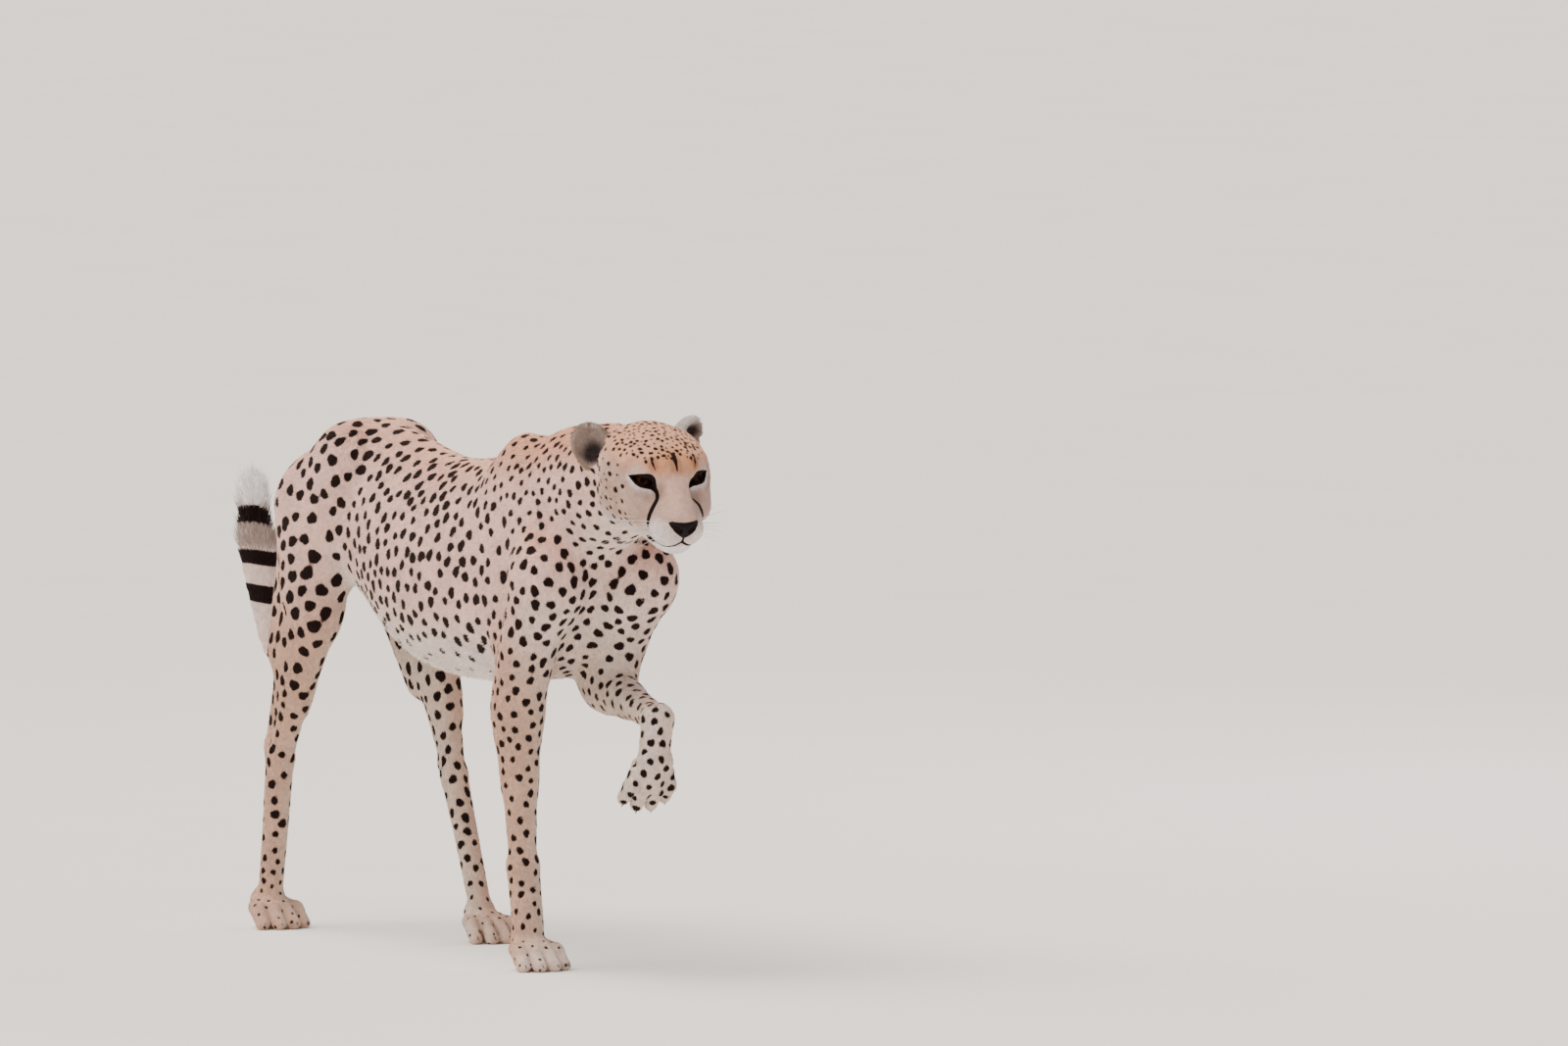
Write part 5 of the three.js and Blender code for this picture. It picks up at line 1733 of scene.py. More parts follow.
# ---- the coat
@dataclass
class Tufts:
    """Thin closed locks of fur, each with four faces: two roots, a ridge and a tip."""

    root: Points
    normal: Points
    lie: Points
    length: Values
    width: Values
    lean: Values
    grain: Values
    part: Values

    def corners(self) -> Values:
        """Place the four corners of every tuft.

        Returns:
            Each tuft's two roots, ridge and tip.
        """
        side = np.cross(self.normal, self.lie)
        way = self.lie * np.cos(self.lean)[:, None] + self.normal * np.sin(self.lean)[:, None]
        base = self.root - self.normal * 0.35
        half = side * (self.width / 2)[:, None]
        ridge = base + self.normal * (self.width * 0.3)[:, None] + way * (self.length * 0.3)[:, None]
        return np.stack([base - half, base + half, ridge, base + way * self.length[:, None]], 1)


@dataclass
class Coat:
    """Short fur over the skin; single hairs are too fine to show, so each tuft is a lock of many."""

    skin: Skin
    markings: Markings
    skin_ground: Values
    seed: int = 23
    total: int = 362_000
    piece_limit: int = 49_000
    length: float = 6.4
    width: float = 1.6
    patch: float = 0.0015
    whole: float = 0.15  # how far a lock keeps one colour from root to tip where a mark's edge crosses it

    def __post_init__(self) -> None:
        """Root the tufts in the skin, and give each the skin's colour there."""
        skin = self.skin
        rng = np.random.default_rng(self.seed)
        v, f = skin.mesh.v, skin.mesh.f
        a, b, c = (v[f[:, k]] for k in range(3))
        area = norm(np.cross(b - a, c - a), axis=1) / 2
        middle = (a + b + c) / 3
        normal = np.cross(b - a, c - a)
        normal /= np.maximum(norm(normal, axis=1, keepdims=True), 1e-9)
        part = skin.part[f[:, 0]]
        length, width, _ = self.sizes(middle, normal, part)
        want = area / (length * width)
        want[self.bald(middle, normal)] = 0
        want *= self.total / want.sum()
        count = np.floor(want + rng.random(len(want))).astype(int)
        face = np.repeat(np.arange(len(f)), count)
        share = rng.random((len(face), 2))
        over = share.sum(1) > 1
        share[over] = 1 - share[over]
        weight = np.stack([1 - share.sum(1), share[:, 0], share[:, 1]], 1)[:, :, None]
        self.ground = (self.skin_ground[f[face]] * weight).sum(1)
        root = (v[f[face]] * weight).sum(1)
        n = (skin.normals[f[face]] * weight).sum(1)
        n /= np.maximum(norm(n, axis=1, keepdims=True), 1e-9)
        part = part[face]
        length, width, lean = self.sizes(root, n, part)
        way = lie(skin.flesh, root, n, part)
        spread = rng.normal(0, 0.16, len(face))[:, None]
        way = way * np.cos(spread) + np.cross(n, way) * np.sin(spread)
        length *= rng.uniform(0.72, 1.2, len(face))
        width *= rng.uniform(0.8, 1.2, len(face))
        lean *= rng.uniform(0.6, 1.4, len(face))
        self.tufts = Tufts(root, n, way, length, width, lean, rng.random(len(face)), part)
        log.info("coat: %d tufts", len(face))

    def bald(self, p: Points, n: Points) -> Values:
        """Choose the places with no fur: the soles, the nose, the lips' edges and inside the lids.

        Args:
            p: places on the skin.
            n: the skin's outward way at each.

        Returns:
            True where there is no fur.
        """
        flat = (p[:, 2] < 5) & (n[:, 2] < -0.4)
        q = self.skin.flesh.head.inward(p)
        f = fold(q)
        head = p[:, 0] > Skin.face_from
        lids = head & (self.skin.flesh.head.lid_gap(f) < 1.0) & (q[:, 0] > 36)
        lips = head & (self.skin.face.lip_gap(f) < 0.5)
        return flat | lids | lips | (head & (nose_gap(f) < 0.5) & (f[:, 2] < -25))

    def sizes(self, p: Points, n: Points, part: Values) -> tuple[Values, Values, Values]:
        """Give the tufts' sizes.

        Args:
            p: places on the skin.
            n: the skin's outward way at each.
            part: the region of each.

        Returns:
            A tuft's length, width and lean at each place, in millimetres and radians.
        """
        x, y, z = p.T
        length, width = np.full(len(p), self.length), np.full(len(p), self.width)
        lean = np.full(len(p), math.radians(15))
        below = Part.TRUNK.of(part) * ease(-n[:, 2], 0.2, 0.7)
        length += 6 * below
        low = on_leg(part) * ease(-z, -480, -220)
        crest = ease(n[:, 2], 0.8, 0.97) * ease(-np.abs(y), -18, -6) * ease(x, -140, 0) * ease(-x, -290, -230)
        length += 3 * crest
        width += 0.2 * crest
        length -= 1.0 * low
        width -= 0.25 * low
        foot = ease(-z, -80, -40)
        length -= 1.4 * foot
        width -= 0.25 * foot
        tail = Part.TAIL.of(part)
        share = np.zeros(len(p))
        share[tail] = self.skin.flesh.tail.share_smooth(p[tail])
        tip = ease(share, 0.82, 0.88)
        length += 13 * tip
        width += 0.5 * tip
        lean += math.radians(8) * tip
        head = Part.HEAD.of(part)
        q = self.skin.flesh.head.inward(p[head])
        f = fold(q)
        muzzle = ease(q[:, 0], 20, 80)
        size = 6.2 - 2.8 * muzzle
        wide = 1.15 - 0.4 * muzzle
        throat = ease(-q[:, 2], 50, 74) * (1 - muzzle)
        size, wide = size + 3 * throat, wide + 0.3 * throat
        ear, cup = self.skin.flesh.head.on_ear(q, 4)
        size = np.where(ear, 4.2, size)
        size = np.where(cup, 6.2, size)
        wide = np.where(ear, 0.75, wide)
        lips = ease(-self.skin.face.lip_gap(f), -7, -1)
        size = size - 1.4 * lips
        crown = ease(q[:, 2], 10, 30) * ~ear
        size, wide = size - 1.8 * crown, wide - 0.15 * crown
        length[head], width[head] = size, wide
        turn = np.where(ear, math.radians(24), math.radians(14))
        lean[head] = np.where(cup, math.radians(22), turn)
        return length, width, lean

    def unwrap(self, p: Points, part: Values) -> Values:
        """Lay the skin's own shape out flat: along each part one way, and round it the other.

        Args:
            p: places on the skin.
            part: the region of each.

        Returns:
            A place on the unit square for each.
        """
        out = np.zeros((len(p), 2))
        flesh = self.skin.flesh
        for k in Part:
            mine = part == k.value
            if not mine.any():
                continue
            s = p[mine]
            if k in (Part.HEAD, Part.NECK, Part.TRUNK):
                middle = (flesh.trunk.top(s[:, 0]) + flesh.trunk.bottom(s[:, 0])) / 2
                if k is Part.HEAD:
                    middle = np.full(len(s), flesh.head.origin[2])
                if k is Part.NECK:
                    middle = 655 + (s[:, 0] - 20) * 0.24
                along, angle = s[:, 0], np.arctan2(s[:, 1], s[:, 2] - middle)
            elif k is Part.TAIL:
                path = flesh.tail.path
                near = norm(s[:, None] - path[None], axis=2).argmin(1)
                along = flesh.tail.share_smooth(s)
                angle = np.arctan2(s[:, 1] - path[near, 1], (s - path[near]) @ np.array([0.8, 0, 0.6]))
            else:
                leg = flesh.legs[k.value - Part.FORELEG_LEFT.value]
                chain = np.array([leg.top, leg.middle, leg.ankle, leg.foot])[::-1]
                cx, cy = (np.interp(s[:, 2], chain[:, 2], chain[:, axis]) for axis in (0, 1))
                along, angle = s[:, 2], np.arctan2(s[:, 1] - cy, s[:, 0] - cx)
            low, high = along.min(), along.max()
            out[mine, 0] = 0.01 + 0.98 * (along - low) / max(high - low, 1e-6)
            out[mine, 1] = 0.01 + 0.98 * (angle + math.pi) / (2 * math.pi)
        return out

    def build(self, row: Row, fur: Material) -> list[Object]:
        """Make the coat's pieces, each short enough to be exported whole.

        Args:
            row: the row's frame.
            fur: the finish.

        Returns:
            The pieces.
        """
        tufts = self.tufts
        corners = tufts.corners()
        ends = [self.markings.black(corners[:, k], tufts.part) for k in (2, 3)]
        middle = ends[0] * 0.6 + ends[1] * 0.4
        black = np.stack([ends[0]] * 3 + [ends[1]], 1) * (1 - self.whole) + middle[:, None] * self.whole
        spots = self.unwrap(tufts.root, tufts.part)
        nudge = np.array([[-1, -1], [1, -1], [0, 0.2], [0, 1]]) * self.patch
        faces = np.array([[0, 1, 2], [0, 2, 3], [2, 1, 3], [1, 0, 3]])
        made = []
        for k in Part:
            mine = np.flatnonzero(tufts.part == k.value)
            for number, chosen in enumerate(np.array_split(mine, max(1, -(-len(mine) // self.piece_limit)))):
                if not len(chosen):
                    continue
                count = len(chosen)
                f = (np.arange(count)[:, None, None] * 4 + faces[None]).reshape(-1, 3)
                name = f"coat_{k.name.lower()}_{number + 1}"
                piece = row.mesh(name, corners[chosen].reshape(-1, 3), f, smooth=False)
                paint(piece, "ground", np.repeat(self.ground[chosen], 4, 0))
                paint(piece, "black", black[chosen].ravel())
                paint(piece, "grain", np.repeat(tufts.grain[chosen], 4))
                paint(piece, "tip", np.tile([0.0, 0.0, 0.4, 1.0], count))
                places = (spots[chosen][:, None, None] + nudge[faces][None]).reshape(-1, 2)
                layer = piece.data.uv_layers.new(name="OFBake")
                layer.data.foreach_set("uv", places.astype(np.float32).ravel())
                piece.data.materials.append(fur)
                made.append(piece)
        return made


# ---- nose, eyes, whiskers and claws
NOSE_BREADTH = through([(-48, 0.5), (-45, 4), (-40, 10.5), (-34, 17), (-29, 21), (-24, 20), (-20, 15)])


def nose_gap(f: Points) -> Values:
    """Measure how far points are outside the nose's wings, seen from the front.

    Args:
        f: points of the head's frame, folded to the left side.

    Returns:
        The distance from the wings' edge, negative within them.
    """
    side, z = f[:, 1], f[:, 2]
    wings = (side - NOSE_BREADTH(z)) * 0.78
    return np.maximum.reduce([wings, z + 21.5 - 0.06 * side, -47.5 - z, 99 - f[:, 0]])


@dataclass
class Nose:
    """The nose leather, with its two nostrils."""

    skin: Skin
    cell: float = 1.05
    proud: float = 1.4

    def __post_init__(self) -> None:
        """Lay the nostrils and the slot between them."""
        skin = self.skin
        self.head = skin.flesh.head
        nostril = [(119, 6.5, -35.5), (116, 11.5, -32.5), (111, 16.5, -32.5), (104, 21.5, -36.5)]
        self.nostril = skin.face.lay(nostril, [2.6, 3.2, 2.2, 1.2], 0.0)
        self.slot = skin.face.lay([(122, 0, -32), (122, 0, -40), (121, 0, -48)], [0.3, 0.7, 0.9], 0.0)

    def shape(self, q: Points) -> Values:
        """Measure the leather in the head's frame.

        Args:
            q: points of the head's frame.

        Returns:
            A field close to the distance from its surface.
        """
        f = fold(q)
        cushion = self.head.bare(q) - self.proud + 3.0 * ease(q[:, 2], -30, -21)
        form = smooth_max(cushion, nose_gap(f), 4.0)
        form = smooth_max(form, -self.nostril.gap(f), 2.0)
        form = smooth_max(form, -self.slot.gap(f), 1.5)
        return smooth_max(form, -(self.head.bare(q) + 6), 1.0)

    def build(self, row: Row, leather: Material) -> Object:
        """Mesh the leather and dress it.

        Args:
            row: the row's frame.
            leather: the finish.

        Returns:
            The nose leather.
        """
        mesh = net(self.shape, (90, -27, -56), (130, 27, -10), self.cell)
        mesh.settle(self.shape, self.cell, 2)
        piece = row.mesh("nose_leather", self.head.outward(mesh.v), mesh.f)
        piece.data.materials.append(leather)
        return piece


@dataclass
class Eyes:
    """Two eyeballs, each with a clear front over an amber iris and a round pupil."""

    head: Head
    rings: int = 64
    spokes: int = 72
    pupil: float = 3.4
    iris: float = 8.4
    bulge: float = 0.9

    def build(self, row: Row, side: int, finish: Material) -> Object:
        """Make one eyeball, its rings set round the way that it looks.

        Args:
            row: the row's frame.
            side: 1 for the left eye, -1 for the right.
            finish: its material.

        Returns:
            The eyeball.
        """
        head = self.head
        angle = np.linspace(0, math.pi, self.rings + 1)[1:-1]
        turn = np.linspace(0, 2 * math.pi, self.spokes, endpoint=False)
        a, t = np.meshgrid(angle, turn, indexing="ij")
        off = np.sin(a) * head.eye_radius
        radius = head.eye_radius + self.bulge * (1 - ease(off, 0, self.iris + 1.5)) * (a < 1.5)
        local = np.stack([np.cos(a), np.sin(a) * np.cos(t), np.sin(a) * np.sin(t)], -1) * radius[..., None]
        poles = [[head.eye_radius + self.bulge, 0, 0]], [[-head.eye_radius, 0, 0]]
        local = np.vstack([poles[0], local.reshape(-1, 3), poles[1]])
        level = np.cross((0, 0, 1), head.gaze)
        ways = np.array([head.gaze, level, (0, 0, 1)])
        q = (local @ ways + head.eye) * (1, side, 1)
        rows, n = len(angle), self.spokes
        faces = [(0, 1 + k, 1 + (k + 1) % n) for k in range(n)]
        for i in range(rows - 1):
            for k in range(n):
                p0, p1 = 1 + i * n + k, 1 + i * n + (k + 1) % n
                faces += [(p0, p0 + n, p1 + n), (p0, p1 + n, p1)]
        last = len(q) - 1
        faces += [(last, 1 + (rows - 1) * n + (k + 1) % n, 1 + (rows - 1) * n + k) for k in range(n)]
        faces = np.array(faces)
        if side < 0:
            faces = faces[:, ::-1]
        name = "left" if side > 0 else "right"
        piece = row.mesh(f"eyeball_{name}", head.outward(q), faces)
        away = np.concatenate([[0], off.ravel(), [0]])
        front = np.concatenate([[1], (a < 1.5).ravel(), [0]])
        paint(piece, "off_axis", np.where(front > 0, away, head.eye_radius))
        paint(piece, "shade", 0.9 * ease((q * (1, side, 1) - head.eye) @ head.lid_up, -2.0, 5.0))
        piece.data.materials.append(finish)
        return piece


@dataclass(frozen=True)
class Whiskers:
    """White whiskers, in rows on both sides of the muzzle."""

    length: float = 62
    radius: float = 0.42
    steps: int = 9
    sides: int = 5
    droop: Triple = (-6, 0, -9)
    seed: int = 5

    def build(self, row: Row, face: Face, finish: Material) -> Object:
        """Make every whisker as a thin tapered tube, drooping to its tip.

        Args:
            row: the row's frame.
            face: the lines of the face.
            finish: their material.

        Returns:
            All the whiskers, as one piece.
        """
        rng = np.random.default_rng(self.seed)
        points, faces = [], []
        for side in (-1, 1):
            for number, root in enumerate(face.whisker_roots()):
                i, k = divmod(number, 3)
                ahead, rise = 0.1 - 0.22 * k + rng.normal(0, 0.08), 0.18 - 0.16 * i + rng.normal(0, 0.06)
                way = unit([ahead, side, rise])
                size = self.length * (0.7 + 0.2 * k) * rng.uniform(0.8, 1.1)
                self.tube(points, faces, root * (1, side, 1), way, size)
        piece = row.mesh("whiskers", face.head.outward(np.vstack(points)), np.array(faces))
        piece.data.materials.append(finish)
        return piece

    def tube(self, points: list, faces: list, root: Values, way: Values, size: float) -> None:
        """Add one whisker's tube.

        Args:
            points: the rings laid so far.
            faces: the faces laid so far.
            root: where it grows, in the head's frame.
            way: which way it sets out.
            size: its length.
        """
        start = sum(len(p) for p in points)
        across = unit(np.cross(way, (0, 0, 1)))
        up = np.cross(across, way)
        turn = np.linspace(0, 2 * math.pi, self.sides, endpoint=False)
        ring = np.cos(turn)[:, None] * across + np.sin(turn)[:, None] * up
        for i in range(self.steps + 1):
            t = i / self.steps
            middle = root + way * size * t + np.array(self.droop) * t * t
            points.append(middle + ring * self.radius * (1.02 - t * 0.9))
        n = self.sides
        for i in range(self.steps):
            for k in range(n):
                a, b = start + i * n + k, start + i * n + (k + 1) % n
                faces += [(a, b, b + n), (a, b + n, a + n)]
        last = start + self.steps * n
        faces += [(start, start + k + 1, start + k) for k in range(1, n - 1)]
        faces += [(last, last + k, last + k + 1) for k in range(1, n - 1)]


# ---- finishes
def add(tree: NodeTree, kind: str, inputs: dict | None = None, **settings: object) -> Outputs:
    """Add a shader node to a material.

    Args:
        tree: the material's nodes.
        kind: the node's type, without the words that all types start with.
        inputs: what each named or numbered input is: a value, or an output to link from.
        settings: the node's own settings.

    Returns:
        The node's outputs.
    """
    node = tree.nodes.new("ShaderNode" + kind)
    for name, value in settings.items():
        setattr(node, name, value)
    for name, value in (inputs or {}).items():
        if isinstance(value, NodeSocket):
            tree.links.new(value, node.inputs[name])
        else:
            node.inputs[name].default_value = value
    return node.outputs


def rgba(code: str) -> tuple[float, ...]:
    """Turn an sRGB hex colour into a shader's colour."""
    return (*linear(code), 1.0)


@dataclass(frozen=True)
class Finish:
    """What every finish shares: its name and its way of starting and ending a material."""

    name: str

    def start(self) -> tuple[Material, Callable[..., Outputs], NodeSocket]:
        """Start an empty material.

        Returns:
            The material, a function that adds a node to it, and the place on the piece, in metres.
        """
        material = bpy.data.materials.new(self.name)
        material.use_nodes = True
        material.node_tree.nodes.clear()
        new = partial(add, material.node_tree)
        return material, new, new("TexCoord")["Object"]

    @staticmethod
    def end(new: Callable[..., Outputs], **inputs: object) -> None:
        """Send a shader to the surface; its inputs are named with _ for each space."""
        named = {name.replace("_", " "): value for name, value in inputs.items()}
        new("OutputMaterial", {"Surface": new("BsdfPrincipled", named)["BSDF"]})


@dataclass(frozen=True)
class Fur(Finish):
    """Cheetah fur: short straight fibres, matt with a faint sheen where the light grazes them."""

    spot: str = "#080203"
    spot_brown: str = "#1c0a07"
    tip: str = "#f7ebe4"
    locks: bool = True

    def build(self) -> Material:
        """Paint the ground colour, the black marks and the lighter tips.

        Returns:
            The material.
        """
        material, new, place = self.start()
        middle = {"From Min": 0.3, "From Max": 0.7}
        ground = new("Attribute", attribute_name="ground")["Color"]
        black = new("Attribute", attribute_name="black")["Fac"]
        # coarse clouds, 40 mm across, where the fur parts and lies unevenly
        cloud = new("TexNoise", {"Vector": place, "Scale": 25.0, "Detail": 3.0})["Fac"]
        # fibres and small gaps; real hairs are under 0.1 mm apart, so these are drawn 1.4 mm apart to show
        fine = new("TexNoise", {"Vector": place, "Scale": 700.0, "Detail": 2.0})["Fac"]
        shade = new("MapRange", {"Value": cloud, **middle, "To Min": 0.9, "To Max": 1.06})[0]
        if self.locks:
            grain = new("Attribute", attribute_name="grain")["Fac"]
            each = new("MapRange", {"Value": grain, "To Min": 0.76, "To Max": 1.1})[0]
        else:
            each = new("MapRange", {"Value": fine, **middle, "To Min": 0.76, "To Max": 1.04})[0]
        # mottling 8 mm across, where banded fibres gather
        mottle = new("TexNoise", {"Vector": place, "Scale": 125.0, "Detail": 3.0})["Fac"]
        ticked = new("MapRange", {"Value": mottle, **middle, "To Min": 0.86, "To Max": 1.08})[0]
        both = new("Math", {0: shade, 1: each}, operation="MULTIPLY")[0]
        both = new("Math", {0: both, 1: ticked}, operation="MULTIPLY")[0]
        base = new("VectorMath", {0: ground, "Scale": both}, operation="SCALE")[0]
        # the spots' edges are broken by single fibres, about 1 mm either way
        fibres = {"Value": fine, "From Min": 0.2, "From Max": 0.8, "To Min": -1.1, "To Max": 1.1}
        edge = new("Math", {0: black, 1: new("MapRange", fibres)[0]}, operation="ADD")[0]
        crossing = {"Value": edge, "From Min": 1.3, "From Max": -0.7, "To Min": 0.0, "To Max": 1.0}
        share = new("MapRange", crossing, interpolation_type="SMOOTHSTEP")[0]
        blacks = {"Factor": each if self.locks else fine, 6: rgba(self.spot), 7: rgba(self.spot_brown)}
        dark = new("Mix", blacks, data_type="RGBA")[2]
        colour = new("Mix", {"Factor": share, 6: base, 7: dark}, data_type="RGBA")[2]
        if self.locks:
            # a lock's tip is worn paler, but not where it is black
            tip = new("Attribute", attribute_name="tip")["Fac"]
            paler = new("Math", {0: tip, 1: 0.1}, operation="MULTIPLY")[0]
            keep = new("Math", {0: 1.0, 1: share}, operation="SUBTRACT")[0]
            lift = new("Math", {0: paler, 1: keep}, operation="MULTIPLY")[0]
            colour = new("Mix", {"Factor": lift, 6: colour, 7: rgba(self.tip)}, data_type="RGBA")[2]
        bump = new("Bump", {"Height": fine, "Strength": 0.5, "Distance": 0.0012})[0]
        # keratin under a matt scatter: fibres give a broad, weak highlight and a little sheen
        shine = {"Roughness": 0.72, "IOR": 1.45, "Specular_IOR_Level": 0.15}
        self.end(new, Base_Color=colour, Normal=bump, Sheen_Weight=0.04, Sheen_Roughness=0.45, **shine)
        return material


@dataclass(frozen=True)
class Leather(Finish):
    """Moist nose leather: near black, pebbled, with a low gloss."""

    colour: str = "#070405"
    worn: str = "#1d1518"
    pebble: float = 1.3

    def build(self) -> Material:
        """Paint the pebbles and their gloss.

        Returns:
            The material.
        """
        material, new, place = self.start()
        cells = new("TexVoronoi", {"Vector": place, "Scale": 1000 / self.pebble})["Distance"]
        # worn and damp patches, 8 mm across
        cloud = new("TexNoise", {"Vector": place, "Scale": 120.0, "Detail": 3.0})["Fac"]
        colour = new("Mix", {"Factor": cloud, 6: rgba(self.colour), 7: rgba(self.worn)}, data_type="RGBA")[2]
        rough = new("MapRange", {"Value": cloud, "To Min": 0.4, "To Max": 0.65})[0]
        bump = new("Bump", {"Height": cells, "Strength": 0.5, "Distance": 0.0004})[0]
        self.end(new, Base_Color=colour, Roughness=rough, Normal=bump, Specular_IOR_Level=0.12)
        return material


@dataclass(frozen=True)
class EyeGlass(Finish):
    """A wet eyeball: an amber iris with darker spokes and rim round a black pupil, under a clear coat."""

    amber: str = "#42210f"
    brown: str = "#190a05"
    white: str = "#090403"
    black: str = "#020101"

    def build(self) -> Material:
        """Paint the rings by how far each is from the eye's axis.

        Returns:
            The material.
        """
        material, new, place = self.start()
        off = new("Attribute", attribute_name="off_axis")["Fac"]
        # the iris's fibres, drawn 1 mm apart, coarser than real ones so that they show
        fibre = new("TexNoise", {"Vector": place, "Scale": 900.0, "Detail": 2.0})["Fac"]

        def ring(low: float, high: float) -> NodeSocket:
            """Rise from 0 to 1 between two distances from the axis."""
            span = {"Value": off, "From Min": low, "From Max": high}
            return new("MapRange", span, interpolation_type="SMOOTHSTEP")[0]

        pupil, iris = Eyes.pupil, Eyes.iris
        brown = rgba(self.brown)
        held = new("Mix", {"Factor": fibre, 6: rgba(self.amber), 7: brown}, data_type="RGBA")[2]
        held = new("Mix", {"Factor": ring(iris - 2.6, iris), 6: held, 7: brown}, data_type="RGBA")[2]
        held = new("Mix", {"Factor": ring(iris, iris + 1), 6: held, 7: rgba(self.white)}, data_type="RGBA")[2]
        hole = {"Factor": ring(pupil - 0.4, pupil + 0.4), 6: rgba(self.black), 7: held}
        held = new("Mix", hole, data_type="RGBA")[2]
        # the lashes' shade over the top of the eye
        shade = new("Attribute", attribute_name="shade")["Fac"]
        colour = new("Mix", {"Factor": shade, 6: held, 7: rgba(self.black)}, data_type="RGBA")[2]
        # the wet front gives one small sharp glint
        wet = {"Coat_Weight": 0.12, "Coat_Roughness": 0.02, "Coat_IOR": 1.3}
        self.end(new, Base_Color=colour, Roughness=0.5, Specular_IOR_Level=0.0, **wet)
        return material


@dataclass(frozen=True)
class Horn(Finish):
    """Claw horn: dark, streaked paler where it is worn, with a soft gloss."""

    dark: str = "#1d1715"
    pale: str = "#6b5a4c"

    def build(self) -> Material:
        """Paint the grain, 8 mm long and 1 to 2 mm wide: coarser than the real one, so that it shows.

        Returns:
            The material.
        """
        material, new, place = self.start()
        stretched = new("Mapping", {"Vector": place, "Scale": (120.0, 900.0, 500.0)})[0]
        grain = new("TexNoise", {"Vector": stretched, "Scale": 1.0, "Detail": 3.0})["Fac"]
        colour = new("Mix", {"Factor": grain, 6: rgba(self.dark), 7: rgba(self.pale)}, data_type="RGBA")[2]
        bump = new("Bump", {"Height": grain, "Strength": 0.3, "Distance": 0.0003})[0]
        self.end(new, Base_Color=colour, Roughness=0.38, IOR=1.54, Normal=bump)
        return material


@dataclass(frozen=True)
class Bristle(Finish):
    """Whisker keratin: stiff, smooth and off-white, a little yellower in places."""

    pale: str = "#f4f1ec"
    yellow: str = "#d9cdb8"

    def build(self) -> Material:
        """Paint the whiskers, in lengths of 11 mm.

        Returns:
            The material.
        """
        material, new, place = self.start()
        cloud = new("TexNoise", {"Vector": place, "Scale": 90.0})["Fac"]
        colour = new("Mix", {"Factor": cloud, 6: rgba(self.pale), 7: rgba(self.yellow)}, data_type="RGBA")[2]
        self.end(new, Base_Color=colour, Roughness=0.35, IOR=1.54)
        return material


@dataclass(frozen=True)
class Paper(Finish):
    """The studio's floor: pale matt paper with the faintest unevenness."""

    colour: str = "#efebe6"
    shade: str = "#e9e5df"

    def build(self) -> Material:
        """Paint the floor, with soft clouds 0.4 m across.

        Returns:
            The material.
        """
        material, new, place = self.start()
        cloud = new("TexNoise", {"Vector": place, "Scale": 2.5, "Detail": 3.0})["Fac"]
        colour = new("Mix", {"Factor": cloud, 6: rgba(self.colour), 7: rgba(self.shade)}, data_type="RGBA")[2]
        self.end(new, Base_Color=colour, Roughness=0.9)
        return material


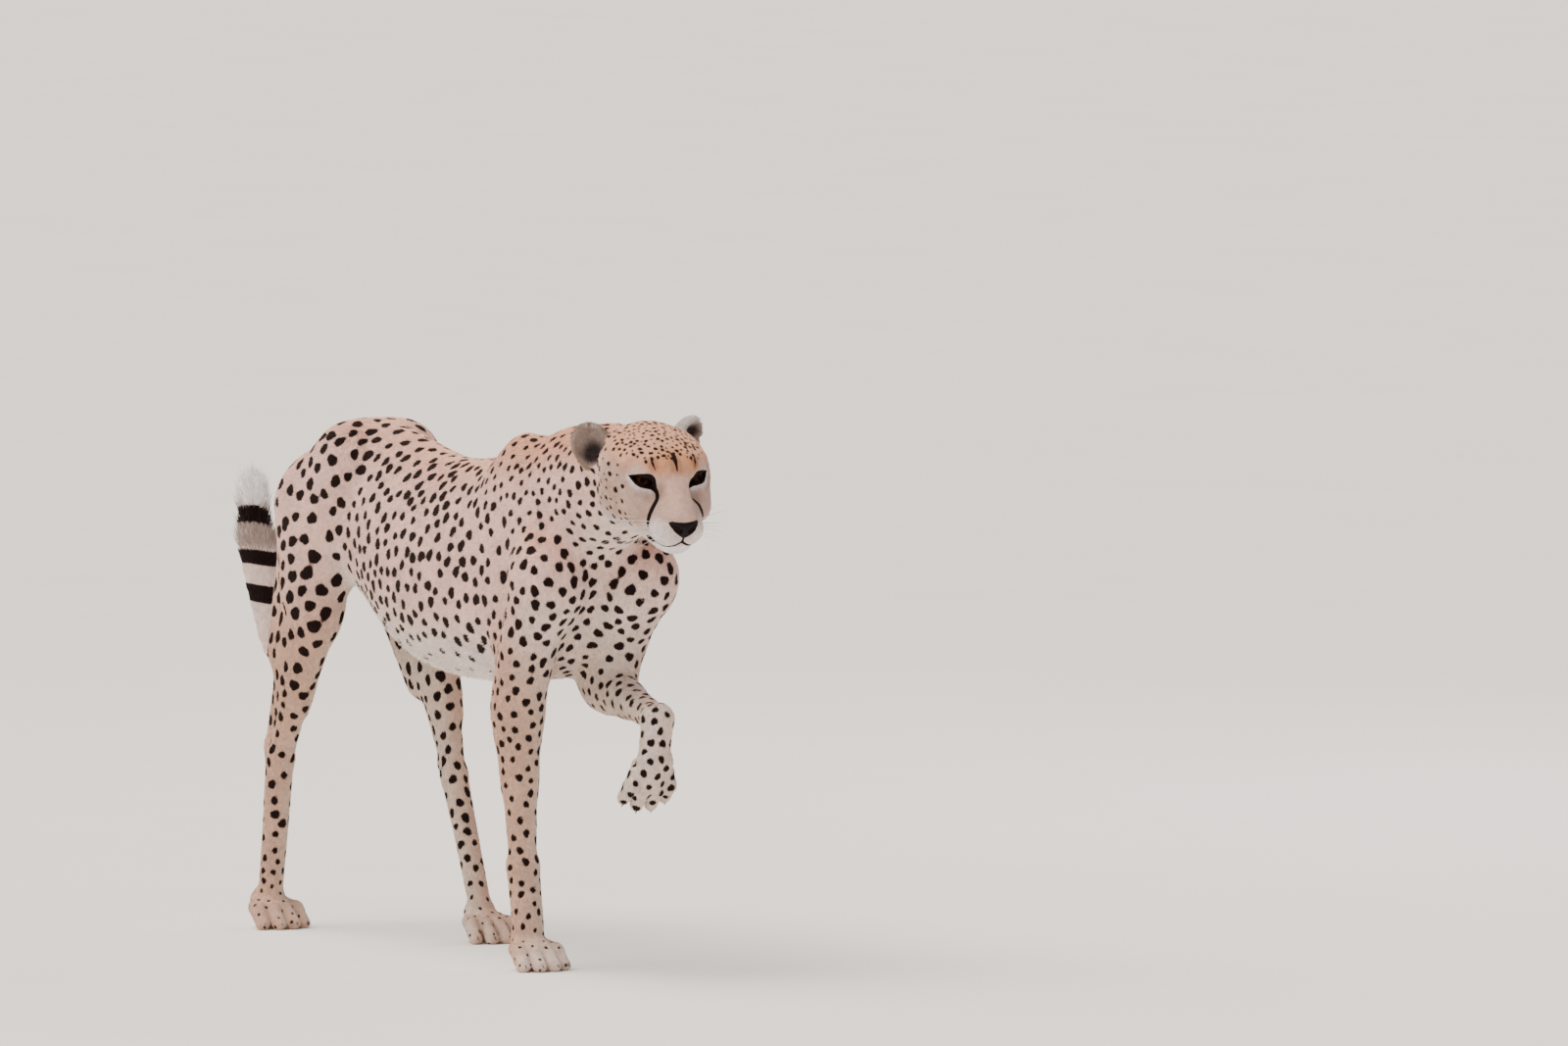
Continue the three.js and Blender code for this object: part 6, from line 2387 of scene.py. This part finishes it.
# ---- the studio
@dataclass(frozen=True)
class Studio:
    """A pale floor, soft light from above, and a far camera with a long lens."""

    azimuth: float = 61.0
    elevation: float = 4.0
    distance: float = 30.0
    sensor: float = 36.0
    pixels_wide: float = 1600.0
    pixels_per_mm: float = 0.7
    aim: Triple = (0.0, 0.0, 770.0)
    aim_right: float = 357.0
    aim_down: float = 129.0
    floor_radius: float = 120.0
    overhead: float = 5.2
    silk_spread: float = 55.0
    silk_way: Triple = (0.32, 0.42, -1.0)
    surround: float = 0.58

    def camera(self, row: Row) -> None:
        """Set up the camera.

        Args:
            row: the row's frame.
        """
        a, e = math.radians(self.azimuth), math.radians(self.elevation)
        back = np.array([math.sin(a) * math.cos(e), -math.cos(a) * math.cos(e), math.sin(e)])
        right = np.array([math.cos(a), math.sin(a), 0.0])
        up = np.cross(back, right)
        target = row.metres(np.array(self.aim) + right * self.aim_right - up * self.aim_down)
        data = bpy.data.cameras.new("camera")
        data.sensor_width = self.sensor
        data.lens = self.sensor * self.distance / (self.pixels_wide / self.pixels_per_mm * MM)
        data.clip_start, data.clip_end = 1.0, 400.0
        eye = bpy.data.objects.new("camera", data)
        eye.location = target + back * self.distance
        eye.rotation_mode = "QUATERNION"
        eye.rotation_quaternion = Vector(-back).to_track_quat("-Z", "Y")
        put(eye)
        bpy.context.scene.camera = eye

    def light(self) -> None:
        """Light the set evenly from above, through wide silk, with two weaker lamps beside the animal."""
        sun = bpy.data.lights.new("overhead_silk", "SUN")
        sun.energy, sun.angle = self.overhead, math.radians(self.silk_spread)
        sun.color = linear("#fff3e8")
        hung = bpy.data.objects.new("overhead_silk", sun)
        hung.rotation_euler = Vector(self.silk_way).to_track_quat("-Z", "Y").to_euler()
        put(hung)
        for name, at, size, power, colour in (
            ("front", (3.2, -2.6, 1.8), 2.4, 40.0, "#fff0e6"),
            ("far_side", (-1.5, 3.4, 2.6), 2.6, 50.0, "#eef3ff"),
        ):
            data = bpy.data.lights.new(name, "AREA")
            data.shape, data.size, data.energy = "DISK", size, power
            data.color = linear(colour)
            lamp = bpy.data.objects.new(name, data)
            lamp.location = at
            lamp.rotation_euler = (Vector((0, 0, 0.45)) - Vector(at)).to_track_quat("-Z", "Y").to_euler()
            put(lamp)
        world = bpy.data.worlds.new("studio")
        world.use_nodes = True
        background = world.node_tree.nodes["Background"].inputs
        background["Color"].default_value = rgba("#eef0f2")
        background["Strength"].default_value = self.surround
        bpy.context.scene.world = world

    def floor(self) -> None:
        """Lay a round floor out to the horizon."""
        turn = np.linspace(0, 2 * math.pi, 96, endpoint=False)
        rim = np.stack([np.cos(turn), np.sin(turn), turn * 0], 1) * self.floor_radius
        mesh = bpy.data.meshes.new("floor")
        mesh.from_pydata(rim.tolist(), [], [list(range(len(rim)))])
        floor = bpy.data.objects.new("floor", mesh)
        floor.location = (0, 0, -0.0002)
        mesh.materials.append(Paper("matt studio paper").build())
        put(floor)


class Cheetah:
    """The whole model."""

    flesh_nodes = (
        "belly", "chest", "pelvis", "neck", "head", "jaw", "ear_left", "ear_right", "tail", "tail_tip",
        *map("_".join, product(
            ("shoulder", "forearm", "forepaw", "thigh", "shank", "hock", "hindpaw"), ("left", "right")
        )),
    )

    def __init__(self) -> None:
        """Set up the flesh and the row's frame."""
        self.flesh = Flesh()
        self.row = Row(self.flesh.head)
        log.info("row: shifted by %s", self.row.shift)

    def keep(self, piece: Object, slot: str, *nodes: str) -> None:
        """Let a piece ride with the model, and stand for its nodes.

        Args:
            piece: the piece.
            slot: not used.
            nodes: the nodes that it replaces.
        """
        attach(piece, "root")
        if nodes:
            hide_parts(*nodes)
        log.info("piece: %s, %d faces", piece.name, len(piece.data.polygons))

    def build(self) -> None:
        """Make every piece, in order."""
        skin = Skin(self.flesh)
        markings = Markings(skin)
        body = self.row.mesh("skin", skin.mesh.v, skin.mesh.f)
        ground = markings.soft_ground()
        paint(body, "ground", ground)
        paint(body, "black", markings.black(skin.mesh.v, skin.part))
        body.data.materials.append(Fur("cheetah skin and underfur", locks=False).build())
        self.keep(body, "coat", *self.flesh_nodes)
        for piece in Coat(skin, markings, ground).build(self.row, Fur("cheetah fur").build()):
            self.keep(piece, "coat")
        nose = Nose(skin).build(self.row, Leather("moist nose leather").build())
        self.keep(nose, "leather", "nose")
        glass = EyeGlass("wet amber eye").build()
        for side, name in ((1, "eye_left"), (-1, "eye_right")):
            self.keep(Eyes(self.flesh.head).build(self.row, side, glass), "eye", name)
        whiskers = Whiskers().build(self.row, skin.face, Bristle("whisker keratin").build())
        self.keep(whiskers, "coat")
        horn = Horn("claw horn").build()
        for name, node in frame["nodes"].items():
            if name.startswith("claw"):
                node.data.materials.clear()
                node.data.materials.append(horn)


def main() -> None:
    """Dress the model and light it."""
    logging.basicConfig(level=logging.INFO, format="%(message)s")
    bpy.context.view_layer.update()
    studio = Studio()
    model = Cheetah()
    studio.camera(model.row)
    studio.light()
    studio.floor()
    model.build()


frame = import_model()

if __name__ == "__main__":
    main()
